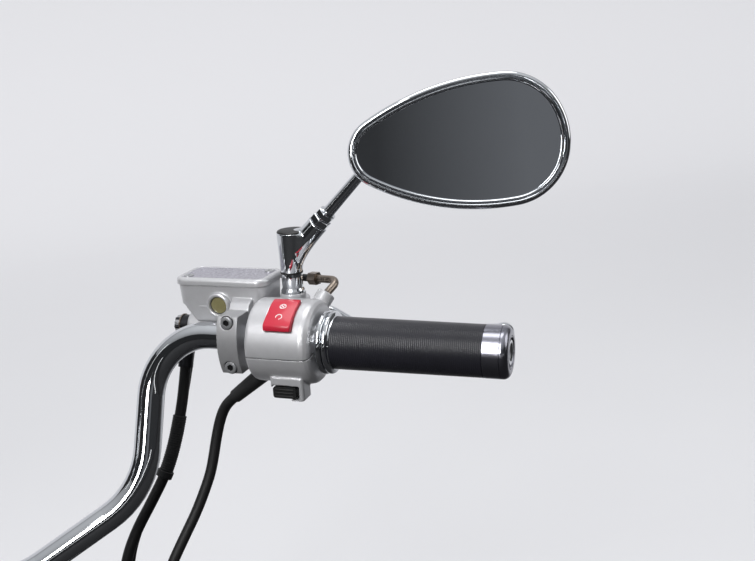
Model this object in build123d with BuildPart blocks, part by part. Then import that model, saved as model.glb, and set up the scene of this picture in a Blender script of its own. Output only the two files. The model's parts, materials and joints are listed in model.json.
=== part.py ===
# Cruiser motorcycle handlebar with its controls, grips, levers and mirrors.
# Millimetres. The origin is the middle of the straight stretch that the riser clamps hold.
# +X is the rider's right, +Y is forward and +Z is up.
from build123d import *
from math import atan2, cos, hypot, pi, radians, sin, sqrt, tan
import os

# Handlebar tube
bar_radius = 11.1
bar_wall = 2.5
first_corner_x = 70
lower_corner = (173, 0, 52)
upper_corner = (201, 40, 172)
pull_back = 35
droop = 2
first_bend = 80
lower_bend = 70
upper_bend = 50

# Clearances
seat_gap = 0.1
turn_gap = 0.3
grip_stand_off = 0.5

# Switch housings
housing_start = 97
housing_length = 51.5
housing_radius = 33
housing_wall = 3
housing_edge = 6
housing_inner_edge = 2.5
parting_tilt = 8.6

# Grips
collar_length = 12.5
collar_radius = 25
collar_hub_radius = 16
grip_length = 116
grip_root_radius = 20.5
grip_tip_radius = 19.8
cap_length = 19
cap_radius = 19.9
cap_hole_radius = 10.6
cap_overhang = 8.5
plug_radius = 9.6

# Where the pieces stand along the bar, from the switch housing out to the bar's end
collar_start = housing_start + housing_length + grip_stand_off
grip_start = collar_start + collar_length
cap_start = grip_start + grip_length
cap_end = cap_start + cap_length
bar_end = cap_end - cap_overhang

# Lever perches: clamp, cylinder and pivot
clamp_start = 69.5
clamp_width = 17.5
clamp_top = 22.6
clamp_bottom = -24
clamp_depth = 24
clamp_split = 1.0
clamp_bolt_z = 18.3
clamp_bolt_radius = 4.9
clamp_bolt_head = 5
bore_y = 32
bore_z = -2.5
bore_housing_radius = 13
bore_housing_start = 17.5
bore_housing_length = 76.5
pivot_t = 106
pivot_y = 54
pivot_z = 5
pivot_radius = 4
pivot_boss_radius = 11
perch_ear = 6
lever_root_height = 17
lever_side_gap = 0.5

# Brake fluid reservoir and its lid
lid_length = 81.6
lid_width = 42.7
lid_thickness = 6
lid_boss_gap = 2.5
lid_y = 28.5
lid_corner = 9
reservoir_top = 39.3
reservoir_inset = 1.6
reservoir_floor = 7.5
sight_z = 23.2
sight_ring_radius = 10
sight_glass_radius = 7.3

# Mirror stem
boss_t = 112
boss_y = 34
boss_radius = 10.5
boss_top = 29.5
lid_t = boss_t - boss_radius - lid_boss_gap - lid_length / 2
sight_t = lid_t - 1.1
collar_top = 46
stem_collar_radius = 8.75
post_bottom = 46.3
post_top = 79.5
post_foot_radius = 8.8
post_head_radius = 12.9
post_lean = 3.2
arm_z = 59.2
arm_angle = 46
arm_length = 37.5
arm_foot_radius = 9.4
arm_tip_radius = 8.3
rod_radius = 4.2
nut_radius = 8
nut_length = 9
nut_collar_radius = 6.6
ball_reach = 111
ball_radius = 7.5
socket_wall = 3
socket_lip = 5
pod_wall = 2.9

# Mirror head: its outline is three round ends joined by three long arcs
head_centre = (257.9, 20, 151)
head_toe_in = 17.7
head_lean = 8.6
narrow_end = (-55, -3.5, 26.5)
wide_top = (32.5, 2, 45)
wide_bottom = (34, -4.5, 45)
top_sweep = 195
side_sweep = 55
bottom_sweep = 178
rim_width = 7
rim_front = 3.5
rim_back = 6
rim_lip = 1.6
glass_thickness = 2.8
shell_wall = 2.5

# Levers
lever_width = 9
lever_height = 15
lever_ball_radius = 8.6
lever_bends = [25, 25, 60, 70]
lever_points = [(110, 54.5, 5), (130, 57.5, 6), (152, 61.5, -8), (172, 66, -12), (226, 69.5, -12.5), (278, 68, -8)]

# Brake hose, switch wires and throttle cable: diameters, and points in the frame of the whole part
hose_diameter = 9.5
wires_diameter = 9
cable_diameter = 6
hose_points = [(222, 57.5, 132), (217.2, 53, 112), (210.6, 47.8, 91), (202.6, 42.3, 69.5), (192.4, 37.6, 48),
               (176.5, 34.4, 25), (160, 33.5, 1.5), (148.2, 34, -23), (141.5, 35.5, -53), (139, 37.5, -85),
               (140.5, 40.5, -120), (143.5, 42, -155), (144.2, 41.5, -190)]
wires_points = [(256, 2.5, 118), (250.7, 7.4, 112.7), (245.4, 11.5, 104.9), (240.9, 13.5, 93.8), (236.8, 13.9, 80.9),
                (233, 13.2, 67.5), (229.1, 12, 55.1), (224.8, 10.8, 45), (212.4, 7.8, 22), (197.6, 3.6, 1),
                (182.6, -0.6, -21.5), (171.5, -3.6, -48), (165.8, -3.8, -79), (165.2, -1.5, -112), (168, 1.2, -145),
                (169.5, 1.8, -178)]
cable_points = [(330.2, 11.4, 204.6), (321.5, 23.4, 204.2), (310.6, 35.7, 205.6), (298.1, 47.5, 207),
                (283.9, 58.6, 206), (270.2, 68.1, 200.6), (256.7, 76.5, 190.7), (244.9, 83.2, 176.1),
                (236.6, 86.4, 157.9), (230.2, 86.4, 135.5), (223.4, 83.2, 111.5), (214.6, 77.6, 87), (204.8, 71.6, 60),
                (190.6, 65.5, 31), (171.5, 62, 5), (156.5, 60.4, -22), (148, 60.6, -52), (145.6, 62.6, -83.5),
                (147.6, 65, -115), (150.4, 66, -145)]

os.makedirs("parts", exist_ok=True)


def keep(piece, name):
    """Label a finished piece and write it."""
    piece.label = name
    export_step(piece, f"parts/{name}.step")


# The right-hand end's own frame: out along the grip, forward across it and up
hub = Vector(upper_corner)
out = Vector(cos(radians(pull_back)) * cos(radians(droop)), -sin(radians(pull_back)) * cos(radians(droop)),
             -sin(radians(droop)))
forward = Vector(sin(radians(pull_back)), cos(radians(pull_back)), 0)
up = out.cross(forward)
bar_axis = Axis(hub, out)


def at(t, y=0, z=0):
    """A point given along the bar, forward of it and above it."""
    return hub + out * t + forward * y + up * z


def section(t, y=0, z=0):
    """A plane across the bar, with forward to the right and up to the top."""
    return Plane(origin=at(t, y, z), x_dir=forward, z_dir=out)


def plan(z, t=0, y=0):
    """A plane seen from above, with outboard to the right and forward to the top."""
    return Plane(origin=at(t, y, z), x_dir=out, z_dir=up)


def front(y, t=0, z=0):
    """A plane seen by the rider, with outboard to the right and up to the top."""
    return Plane(origin=at(t, y, z), x_dir=out, z_dir=-forward)


def turned(profile, plane, mode=Mode.ADD):
    """Turn a closed profile of (along, radius) points about the plane's own x axis."""
    with BuildSketch(plane) as outline:
        with BuildLine():
            Polyline(*profile, close=True)
        make_face()
    revolve(outline.sketch, axis=Axis(plane.origin, plane.x_dir), mode=mode)


def sector(inner, outer, start, end):
    """Fill a ring sector in the current sketch, with its angles in degrees from the sketch's x axis."""
    def polar(radius, angle):
        return (radius * cos(radians(angle)), radius * sin(radians(angle)))

    with BuildLine() as edge:
        ThreePointArc(polar(outer, start), polar(outer, (start + end) / 2), polar(outer, end))
        Line(polar(outer, end), polar(inner, end))
        ThreePointArc(polar(inner, end), polar(inner, (start + end) / 2), polar(inner, start))
        Line(polar(inner, start), polar(outer, start))
    make_face(edge.edges())


def mirrored(right_part, name):
    """Write the left-hand twin of a right-hand piece."""
    with BuildPart() as twin:
        mirror(right_part, about=Plane.YZ)
    keep(twin.part, name)


# Handlebar tube: one bent tube from end to end
right_corners = [(first_corner_x, 0, 0), lower_corner, upper_corner, tuple(at(bar_end))]
left_corners = [(-x, y, z) for x, y, z in reversed(right_corners)]
bends = [first_bend, lower_bend, upper_bend]
with BuildPart() as handlebar_tube:
    with BuildLine() as bar_line:
        FilletPolyline(*left_corners, *right_corners, radius=list(reversed(bends)) + bends)
    with BuildSketch(Plane(origin=bar_line.line @ 0, z_dir=bar_line.line % 0)):
        Circle(bar_radius)
        Circle(bar_radius - bar_wall, mode=Mode.SUBTRACT)
    sweep()
keep(handlebar_tube.part, "handlebar_tube")

# Grips: rubber sleeve between a chrome collar and a chrome end cap, the right-hand one free to turn on the bar
grip_bore = bar_radius + turn_gap
bead = collar_length - 3

with BuildPart() as grip_collar:
    turned([(0, grip_bore), (0, collar_hub_radius), (2, collar_hub_radius), (2, collar_radius - 2),
            (3.5, collar_radius), (2 + bead / 2, collar_radius), (3 + bead / 2, collar_radius - 1.4),
            (4 + bead / 2, collar_radius - 0.4), (bead + 1, collar_radius - 0.4), (collar_length, collar_radius - 3),
            (collar_length, grip_bore)], front(0, collar_start))
with BuildPart() as grip_rubber:
    turned([(0, grip_bore), (0, grip_root_radius), (grip_length, grip_tip_radius), (grip_length, grip_bore)],
           front(0, grip_start))
with BuildPart() as grip_cap:
    turned([(0, grip_bore), (0, cap_radius), (cap_length - 4, cap_radius), (cap_length - 1.2, cap_radius - 1.2),
            (cap_length, cap_radius - 4), (cap_length, cap_hole_radius), (cap_length - 6, cap_hole_radius),
            (cap_length - 6, grip_bore)], front(0, cap_start))
for piece, name in ((grip_rubber, "grip"), (grip_collar, "grip_collar"), (grip_cap, "grip_cap")):
    keep(piece.part, f"right_{name}")
    mirrored(piece.part, f"left_{name}")

# Bar end plugs: they close the tube's ends and show in the end caps
with BuildPart() as bar_end_plugs:
    plug_length = cap_end - bar_end
    turned([(0, 0), (0, plug_radius), (plug_length - 2.5, plug_radius), (plug_length - 1.5, plug_radius - 1),
            (plug_length - 1.5, 5.5), (plug_length - 4, 5), (plug_length - 4, 0)], front(0, bar_end))
    turned([(-20, 0), (-20, bar_radius - bar_wall - seat_gap), (0, bar_radius - bar_wall - seat_gap), (0, 0)],
           front(0, bar_end))
    mirror(about=Plane.YZ)
keep(bar_end_plugs.part, "bar_end_plugs")


def perch_half():
    """Build the front half of a lever perch: half of the bar clamp, the lever's ears and the mirror's boss."""
    with BuildSketch(section(clamp_start)) as half:
        with BuildLine():
            Polyline((clamp_split / 2, clamp_top), (4, clamp_top + 4.4), (10, saddle_top), (bore_y - 8, saddle_top),
                     (bore_y - 8, clamp_bottom + 6), (12, clamp_bottom), (clamp_split / 2, clamp_bottom), close=True)
        make_face()
    extrude(half.sketch, amount=clamp_width)
    with BuildSketch(plan(pivot_z - ear_reach)) as ears:
        with Locations((pivot_t, pivot_y)):
            Circle(pivot_boss_radius)
        with Locations((boss_t, boss_y)):
            Circle(boss_radius)
        with Locations((clamp_start + clamp_width - 6, bore_y)):
            Circle(bore_housing_radius)
        make_hull()
    extrude(ears.sketch, amount=2 * ear_reach)
    with BuildSketch(plan(pivot_z, boss_t, boss_y)) as boss:
        Circle(boss_radius)
    extrude(boss.sketch, amount=boss_top - pivot_z)


def perch_room():
    """Cut a lever perch clear of the bar, the switch housing, the lever and its bolt."""
    half_slot = lever_root_height / 2 + lever_side_gap
    with BuildSketch(plan(pivot_z - half_slot)) as slot:
        with Locations((pivot_t, pivot_y)):
            Circle(pivot_boss_radius + 1.5)
        with Locations((pivot_t + 20, pivot_y + 3)):
            Rectangle(40, 26)
    extrude(slot.sketch, amount=2 * half_slot, mode=Mode.SUBTRACT)
    with BuildSketch(plan(pivot_z - ear_reach, pivot_t, pivot_y)) as hole:
        Circle(pivot_radius + seat_gap)
    extrude(hole.sketch, amount=2 * ear_reach, mode=Mode.SUBTRACT)
    with BuildSketch(section(0)) as bar_hole:
        Circle(bar_radius + seat_gap)
    extrude(bar_hole.sketch, amount=bar_end, mode=Mode.SUBTRACT)
    with BuildSketch(section(0)) as bar_space:
        Circle(bar_radius + 3)
    extrude(bar_space.sketch, amount=clamp_start, mode=Mode.SUBTRACT)
    with BuildSketch(section(housing_start - 1.5)) as housing_space:
        Circle(housing_radius + 1.2)
    extrude(housing_space.sketch, amount=housing_length + 10, mode=Mode.SUBTRACT)


# Lever perches and their clamps: the brake's carries the master cylinder and its reservoir
ear_reach = lever_root_height / 2 + lever_side_gap + perch_ear
saddle_top = 30
with BuildPart() as master_cylinder:
    with BuildSketch(plan(reservoir_top, lid_t, lid_y)):
        RectangleRounded(lid_length - 2 * reservoir_inset, lid_width - 2 * reservoir_inset, lid_corner - reservoir_inset)
    extrude(amount=reservoir_floor - reservoir_top, taper=4)
    with BuildSketch(front(0)):
        with BuildLine():
            Polyline((10, 22), (24, 22), (35, reservoir_floor - 1), (10, reservoir_floor - 1), close=True)
        make_face()
    extrude(amount=-60, mode=Mode.SUBTRACT)
    turned([(0, 0), (0, bore_housing_radius - 2), (2, bore_housing_radius), (bore_housing_length, bore_housing_radius),
            (bore_housing_length, 0)],
           front(bore_y, bore_housing_start, bore_z))
    with BuildSketch(plan(0, lid_t + 2, lid_y + 2)):
        Rectangle(lid_length - 24, 20)
    extrude(amount=reservoir_floor + 2)
    with BuildSketch(front(lid_y - lid_width / 2 - 0.6, sight_t, sight_z)):
        Circle(sight_ring_radius)
    extrude(amount=-8)
    perch_half()
    perch_room()
    with BuildSketch(front(lid_y - lid_width / 2 - 0.6, sight_t, sight_z)):
        Circle(sight_glass_radius + seat_gap)
    extrude(amount=-2.5, mode=Mode.SUBTRACT)
keep(master_cylinder.part, "master_cylinder")

with BuildPart() as sight_glass:
    with BuildSketch(front(lid_y - lid_width / 2 + 0.2, sight_t, sight_z)):
        Circle(sight_glass_radius)
    extrude(amount=-1.6)
keep(sight_glass.part, "sight_glass")

with BuildPart() as reservoir_lid:
    with BuildSketch(plan(reservoir_top, lid_t, lid_y)):
        RectangleRounded(lid_length, lid_width, lid_corner)
    extrude(amount=lid_thickness)
    fillet(reservoir_lid.faces().sort_by(Axis(hub, up))[-1].edges(), 2)
keep(reservoir_lid.part, "reservoir_lid")

with BuildPart() as perch_clamp:
    with BuildSketch(section(clamp_start)):
        with BuildLine():
            Line((-clamp_split / 2, clamp_top), (-18.5, clamp_top))
            ThreePointArc((-18.5, clamp_top), (-clamp_depth, 0), (-18.5, clamp_bottom))
            Line((-18.5, clamp_bottom), (-clamp_split / 2, clamp_bottom))
            Line((-clamp_split / 2, clamp_bottom), (-clamp_split / 2, clamp_top))
        make_face()
    extrude(amount=clamp_width)
    with BuildSketch(section(clamp_start)):
        Circle(bar_radius + seat_gap)
    extrude(amount=clamp_width, mode=Mode.SUBTRACT)
    for bolt_z in (clamp_bolt_z, -clamp_bolt_z):
        with BuildSketch(front(-clamp_depth, clamp_start + clamp_width / 2, bolt_z)):
            Circle(clamp_bolt_radius + 0.6)
        extrude(amount=-clamp_bolt_head - 3, mode=Mode.SUBTRACT)
        with BuildSketch(front(-clamp_depth + 4, clamp_start + clamp_width / 2, bolt_z)):
            Circle(clamp_bolt_radius)
        extrude(amount=-clamp_bolt_head)
keep(perch_clamp.part, "master_cylinder_clamp")
mirrored(perch_clamp.part, "clutch_perch_clamp")

adjuster_length = 17
with BuildPart() as clutch_perch:
    perch_half()
    turned([(0, 0), (0, 7.5), (14, 7.5), (14, 0)], front(bore_y + 4, clamp_start - 8, pivot_z))
    perch_room()
mirrored(clutch_perch.part, "clutch_perch")
with BuildPart() as clutch_adjuster:
    turned([(0, 0), (0, 4), (6, 5.5), (9, 5.5), (9, 8.2), (13.5, 8.2), (13.5, 6), (adjuster_length, 6),
            (adjuster_length, 0)], front(bore_y + 4, clamp_start - 8 - adjuster_length, pivot_z))
mirrored(clutch_adjuster.part, "clutch_adjuster")

# Brake light switch: under the brake's perch, behind the lever's knuckle
with BuildPart() as brake_light_switch:
    with BuildSketch(plan(pivot_z - ear_reach, pivot_t, pivot_y - 13)):
        RectangleRounded(20, 9, 2)
    extrude(amount=-9)
keep(brake_light_switch.part, "brake_light_switch")

# Levers: a knuckle on the pivot bolt, a flat blade and a ball at the tip
with BuildPart() as lever:
    with BuildSketch(plan(pivot_z - lever_root_height / 2, pivot_t, pivot_y)):
        Circle(pivot_boss_radius - 1)
    extrude(amount=lever_root_height)
    with BuildLine() as blade_line:
        FilletPolyline(*(at(*point) for point in lever_points), radius=lever_bends)
    with BuildSketch(Plane(origin=blade_line.line @ 0, x_dir=up, z_dir=blade_line.line % 0)):
        RectangleRounded(lever_height, lever_width, 3.5)
    sweep()
    with Locations(Location(at(*lever_points[-1]))):
        Sphere(lever_ball_radius)
    with BuildSketch(plan(pivot_z - lever_root_height / 2, pivot_t, pivot_y)):
        Circle(pivot_radius + seat_gap)
    extrude(amount=lever_root_height, mode=Mode.SUBTRACT)
keep(lever.part, "brake_lever")
mirrored(lever.part, "clutch_lever")

with BuildPart() as lever_pivot_bolts:
    with BuildSketch(plan(pivot_z - ear_reach - 4, pivot_t, pivot_y)):
        Circle(pivot_radius)
    extrude(amount=2 * ear_reach + 4)
    for level, height in ((pivot_z + ear_reach, 4), (pivot_z - ear_reach - 4, 4)):
        with BuildSketch(plan(level, pivot_t, pivot_y)):
            Circle(6.5)
        extrude(amount=height)
    mirror(about=Plane.YZ)
keep(lever_pivot_bolts.part, "lever_pivot_bolts")

# Right-hand switch housing: the stop switch on top, the starter under its hood and the throttle cable's boss
stop_start = housing_start + 16.7
stop_length = 22
stop_angles = (98, 150)
stop_proud = 3.8
switch_gap = 0.4
starter_t = housing_start + 30.2
starter_y = -18
hood_top = -22
hood_bottom = -40.5
hood_width = 27.6
hood_depth = 17
hood_left_wall = 1.6
hood_right_wall = 3.5
hood_opening = -28.3
hood_left_end = -30.3
hood_lip = 1
hood_lip_length = 7
starter_size = 20
starter_height = 10
starter_recess = 9
starter_proud = 0.5
cable_boss_foot = (137, 13, 17)
cable_boss_head = (144.5, 25.5, 31.5)
cable_boss_radius = 7.5


def housing_room():
    """Hollow a switch housing out, and leave the hole for the bar."""
    turned([(housing_wall, 0), (housing_wall, housing_radius - housing_wall),
            (housing_length - housing_wall, housing_radius - housing_wall),
            (housing_length - housing_wall, 0)], front(0, housing_start), Mode.SUBTRACT)
    turned([(0, 0), (0, bar_radius + seat_gap), (housing_length, bar_radius + seat_gap), (housing_length, 0)],
           front(0, housing_start), Mode.SUBTRACT)


def housing_body():
    """Turn a switch housing's outer form, with its edges rounded."""
    turned([(0, 0), (0, housing_radius - housing_inner_edge),
            (0.3 * housing_inner_edge, housing_radius - 0.3 * housing_inner_edge), (housing_inner_edge, housing_radius),
            (housing_length - housing_edge, housing_radius),
            (housing_length - 0.5 * housing_edge, housing_radius - 0.134 * housing_edge),
            (housing_length - 0.134 * housing_edge, housing_radius - 0.5 * housing_edge),
            (housing_length, housing_radius - housing_edge), (housing_length, 0)], front(0, housing_start))


def housing_cut(kept):
    """Keep one half of a switch housing, parted on a plane through the bar that dips on the rider's side."""
    split(bisect_by=Plane(origin=hub, x_dir=out, z_dir=parting_up), keep=kept)


parting_up = up * cos(radians(parting_tilt)) - forward * sin(radians(parting_tilt))

with BuildPart() as right_switch_upper:
    housing_body()
    boss_line = at(*cable_boss_head) - at(*cable_boss_foot)
    with BuildSketch(Plane(origin=at(*cable_boss_foot), z_dir=boss_line)):
        Circle(cable_boss_radius)
    extrude(amount=boss_line.length)
    with BuildSketch(section(stop_start - switch_gap)):
        sector(housing_radius - 1.5, housing_radius + 2, stop_angles[0] - 0.8, stop_angles[1] + 0.8)
    extrude(amount=stop_length + 2 * switch_gap, mode=Mode.SUBTRACT)
    housing_room()
    housing_cut(Keep.TOP)
keep(right_switch_upper.part, "right_switch_upper")

with BuildPart() as kill_switch:
    with BuildSketch(section(stop_start)):
        sector(housing_radius - 1.5 + seat_gap, housing_radius + stop_proud, *stop_angles)
    extrude(amount=stop_length)
keep(kill_switch.part, "kill_switch")

with BuildPart() as right_switch_lower:
    housing_body()
    with BuildSketch(plan(hood_top, starter_t, starter_y)):
        RectangleRounded(hood_width, hood_depth, 3)
    extrude(amount=hood_bottom - hood_top)
    housing_room()
    hood_inside = starter_t + hood_width / 2 - hood_right_wall
    opening_start = starter_t - hood_width / 2 + hood_left_wall
    with BuildSketch(front(starter_y - hood_depth / 2)):
        with BuildLine():
            Polyline((opening_start, hood_opening), (hood_inside, hood_opening), (hood_inside, hood_bottom + hood_lip),
                     (hood_inside - hood_lip_length, hood_bottom + hood_lip), (hood_inside - hood_lip_length,
                     hood_bottom - 1), (opening_start - 3, hood_bottom - 1), (opening_start - 3, hood_left_end),
                     (opening_start, hood_left_end), close=True)
        make_face()
    extrude(amount=-starter_recess, mode=Mode.SUBTRACT)
    housing_cut(Keep.BOTTOM)
keep(right_switch_lower.part, "right_switch_lower")

with BuildPart() as starter_button:
    with BuildSketch(front(starter_y - hood_depth / 2 + starter_recess, opening_start + starter_size / 2 + 0.6,
                           hood_opening - starter_height / 2 - 0.4)):
        RectangleRounded(starter_size - 1, starter_height - 1, 2)
    extrude(amount=starter_recess + starter_proud)
keep(starter_button.part, "starter_button")

# Left-hand switch housing: dimmer and turn signal slide above the split, horn button below it
dimmer = (housing_start + housing_length * 0.12, 18, 103, 126)
turn_slide = (housing_start + housing_length * 0.43, 20, 150, 174)
horn_t = housing_start + housing_length / 2
horn_angle = 222
horn_radius = 9
with BuildPart() as left_switch_upper:
    housing_body()
    for start, length, low, high in (dimmer, turn_slide):
        with BuildSketch(section(start - switch_gap)):
            sector(housing_radius - 1.5, housing_radius + 2, low - 0.8, high + 0.8)
        extrude(amount=length + 2 * switch_gap, mode=Mode.SUBTRACT)
    housing_room()
    housing_cut(Keep.TOP)
mirrored(left_switch_upper.part, "left_switch_upper")
for name, (start, length, low, high) in (("dimmer_switch", dimmer), ("turn_signal_switch", turn_slide)):
    with BuildPart() as slide:
        with BuildSketch(section(start)):
            sector(housing_radius - 1.5 + seat_gap, housing_radius + 1, low, high)
        extrude(amount=length)
        with BuildSketch(section(start + length / 4)):
            sector(housing_radius, housing_radius + 6, low + 6, high - 6)
        extrude(amount=length / 2)
    mirrored(slide.part, name)

horn_out = forward * cos(radians(horn_angle)) + up * sin(radians(horn_angle))
horn_plane = Plane(origin=at(horn_t) + horn_out * (housing_radius - 2), x_dir=out, z_dir=horn_out)
with BuildPart() as left_switch_lower:
    housing_body()
    with BuildSketch(horn_plane.offset(-8)):
        Circle(horn_radius + 3)
    extrude(amount=10.5)
    with BuildSketch(horn_plane):
        Circle(horn_radius + switch_gap)
    extrude(amount=10, mode=Mode.SUBTRACT)
    housing_room()
    housing_cut(Keep.BOTTOM)
mirrored(left_switch_lower.part, "left_switch_lower")
with BuildPart() as horn_button:
    with BuildSketch(horn_plane.offset(seat_gap)):
        Circle(horn_radius)
    extrude(amount=5)
    fillet(horn_button.faces().sort_by(Axis(hub, horn_out))[-1].edges(), 1.5)
mirrored(horn_button.part, "horn_button")

# Throttle cable elbow: a bent pipe from the boss to the cable, with a nut on its inboard end
cable_start = Vector(*cable_points[0])
cable_back = (cable_start - Vector(*cable_points[1])).normalized()
pipe_radius = 3.2
elbow_reach = 30
with BuildPart() as throttle_cable_elbow:
    with BuildLine() as elbow_line:
        FilletPolyline(at(*cable_boss_head), cable_start + cable_back * elbow_reach, cable_start, radius=8)
    with BuildSketch(Plane(origin=elbow_line.line @ 0, z_dir=elbow_line.line % 0)):
        Circle(pipe_radius)
    sweep()
    with BuildSketch(Plane(origin=cable_start, z_dir=cable_back)):
        RegularPolygon(5.6, 6)
    extrude(amount=8)
    with BuildSketch(Plane(origin=at(*cable_boss_head), z_dir=boss_line)):
        Circle(30)
    extrude(amount=-10, mode=Mode.SUBTRACT)
keep(throttle_cable_elbow.part, "throttle_cable_elbow")

# Mirror stems: collar on the boss, casting, capped post, threaded rod with its nut and ball
arm_dir = out * cos(radians(arm_angle)) + up * sin(radians(arm_angle))
post_plane = Plane(origin=at(boss_t, boss_y), x_dir=up, z_dir=forward)
arm_plane = Plane(origin=at(boss_t, boss_y, arm_z), x_dir=arm_dir, z_dir=-forward)
ball_centre = at(boss_t, boss_y, arm_z) + arm_dir * ball_reach
cap_plane = Plane(origin=at(boss_t + post_lean, boss_y), x_dir=up, z_dir=forward)
cap_thickness = 2.2
with BuildPart() as mirror_collar:
    turned([(boss_top, 0), (boss_top, stem_collar_radius + 0.9), (boss_top + 2, stem_collar_radius + 0.9),
            (boss_top + 4, stem_collar_radius - 0.3), (collar_top - 3, stem_collar_radius), (collar_top,
            stem_collar_radius - 0.6), (collar_top, 0)], post_plane)
with BuildPart() as mirror_base:
    with BuildSketch(plan(post_bottom, boss_t, boss_y)) as post_foot:
        Circle(post_foot_radius)
    with BuildSketch(plan(post_top, boss_t + post_lean, boss_y)) as post_head:
        Circle(post_head_radius)
    loft([post_foot.sketch, post_head.sketch])
    turned([(0, 0), (0, arm_foot_radius), (arm_length, arm_tip_radius), (arm_length, 0)], arm_plane)
with BuildPart() as mirror_cap:
    turned([(post_top, 0), (post_top, post_head_radius - 0.8), (post_top + cap_thickness, post_head_radius - 2.4),
            (post_top + cap_thickness, 0)], cap_plane)
    turned([(0, 0), (0, arm_foot_radius + seat_gap), (arm_length, arm_tip_radius + seat_gap), (arm_length, 0)],
           arm_plane, Mode.SUBTRACT)
with BuildPart() as mirror_rod:
    with BuildSketch(Plane(origin=arm_plane.origin + arm_dir * arm_length, z_dir=arm_dir)):
        RegularPolygon(nut_radius, 6)
    extrude(amount=nut_length)
    turned([(arm_length, 0), (arm_length, nut_collar_radius), (arm_length + nut_length + 4, nut_collar_radius),
            (arm_length + nut_length + 4, rod_radius), (ball_reach, rod_radius), (ball_reach, 0)], arm_plane)
    with Locations(Location(ball_centre)):
        Sphere(ball_radius)

# Mirror heads: nylon socket on the ball, hollow shell with the socket's pod, rim and glass
socket_outer = ball_radius + turn_gap + socket_wall
pod_room = socket_outer + turn_gap
pod_radius = pod_room + pod_wall
glass_normal = (Vector(-sin(radians(head_toe_in)), -cos(radians(head_toe_in)), 0) * cos(radians(head_lean))
                + Vector(0, 0, 1) * sin(radians(head_lean)))
glass_across = Vector(cos(radians(head_toe_in)), -sin(radians(head_toe_in)), 0)
head_plane = Plane(origin=at(*head_centre), x_dir=glass_across, z_dir=glass_normal)
mouth_plane = Plane(origin=ball_centre - arm_dir * socket_lip, z_dir=arm_dir)
# Shell sections: how far behind the glass, how far inside the rim's outline, and how much smaller
shell_sections = [(rim_back, 0.6, 1), (12, 1.6, 1), (18, 4.9, 1), (24, 11, 1), (28, 17, 1), (31, 17, 0.76),
                  (32.8, 17, 0.45)]


def head_face(inset, size=1):
    """Fill the mirror's outline in the current sketch: three round ends and the long arcs that touch them."""
    ends = [(x * size, y * size, (radius - inset) * size) for x, y, radius in (narrow_end, wide_top, wide_bottom)]
    sweeps = [(radius - inset) * size for radius in (top_sweep, side_sweep, bottom_sweep)]
    touches = []
    for (ax, ay, a_radius), (bx, by, b_radius), radius in zip(ends, ends[1:] + ends[:1], sweeps):
        gap = hypot(bx - ax, by - ay)
        a_reach = radius - a_radius
        b_reach = radius - b_radius
        along = (a_reach ** 2 - b_reach ** 2 + gap ** 2) / (2 * gap)
        aside = sqrt(a_reach ** 2 - along ** 2)
        cx = ax + ((bx - ax) * along + (by - ay) * aside) / gap
        cy = ay + ((by - ay) * along - (bx - ax) * aside) / gap
        touches.append(((ax + (ax - cx) / a_reach * a_radius, ay + (ay - cy) / a_reach * a_radius),
                        (bx + (bx - cx) / b_reach * b_radius, by + (by - cy) / b_reach * b_radius), (cx, cy), radius))
    with BuildLine() as outline:
        for (start, end, centre, radius), following, round_end in zip(touches, touches[1:] + touches[:1],
                                                                      ends[1:] + ends[:1]):
            for first, last, (mx, my), mid_radius in ((start, end, centre, radius),
                                                      (end, following[0], round_end[:2], round_end[2])):
                angle = (atan2(first[1] - my, first[0] - mx) - atan2(last[1] - my, last[0] - mx)) % (2 * pi)
                middle = atan2(first[1] - my, first[0] - mx) - angle / 2
                ThreePointArc(first, (mx + mid_radius * cos(middle), my + mid_radius * sin(middle)), last)
    make_face(outline.edges())


def shell_form(wall):
    """Loft the shell's form, shrunk by a wall's thickness for its hollow."""
    faces = []
    for depth, inset, size in shell_sections:
        level = -(depth - wall * (depth - rim_back) / (shell_sections[-1][0] - rim_back))
        with BuildSketch(head_plane.offset(level)) as level_face:
            head_face(inset + wall, size)
        faces.append(level_face.sketch)
    return faces


with BuildPart() as mirror_socket:
    with Locations(Location(ball_centre)):
        Sphere(socket_outer)
        Sphere(ball_radius + turn_gap, mode=Mode.SUBTRACT)
    split(bisect_by=mouth_plane, keep=Keep.TOP)
with BuildPart() as mirror_shell:
    loft(shell_form(0))
    loft(shell_form(shell_wall), mode=Mode.SUBTRACT)
    turned([(-socket_lip, 0), (-socket_lip, pod_radius - 1), (1 - socket_lip, pod_radius), (7, pod_radius),
            (22, 10.5), (27, 5), (28, 0)], Plane(origin=ball_centre, x_dir=arm_dir, z_dir=-forward))
    with Locations(Location(ball_centre)):
        Sphere(pod_room, mode=Mode.SUBTRACT)
with BuildPart() as mirror_rim:
    with BuildSketch(head_plane.offset(-rim_back)):
        head_face(0)
    extrude(amount=rim_back + rim_front)
    fillet(mirror_rim.faces().sort_by(Axis(head_plane.origin, glass_normal))[-1].edges(), 2.6)
    with BuildSketch(head_plane.offset(-rim_back)):
        head_face(rim_width)
    extrude(amount=rim_back + rim_front, mode=Mode.SUBTRACT)
    with BuildSketch(head_plane.offset(-glass_thickness - seat_gap)):
        head_face(rim_width - rim_lip)
    extrude(amount=glass_thickness + 2 * seat_gap, mode=Mode.SUBTRACT)
with BuildPart() as mirror_glass:
    with BuildSketch(head_plane.offset(-glass_thickness)):
        head_face(rim_width - rim_lip + seat_gap)
    extrude(amount=glass_thickness)

for piece, name in ((mirror_collar, "collar"), (mirror_base, "base"), (mirror_cap, "cap"), (mirror_rod, "rod"),
                    (mirror_socket, "socket"), (mirror_shell, "shell"), (mirror_rim, "rim"),
                    (mirror_glass, "glass")):
    keep(piece.part, f"right_mirror_{name}")
    mirrored(piece.part, f"left_mirror_{name}")


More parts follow.
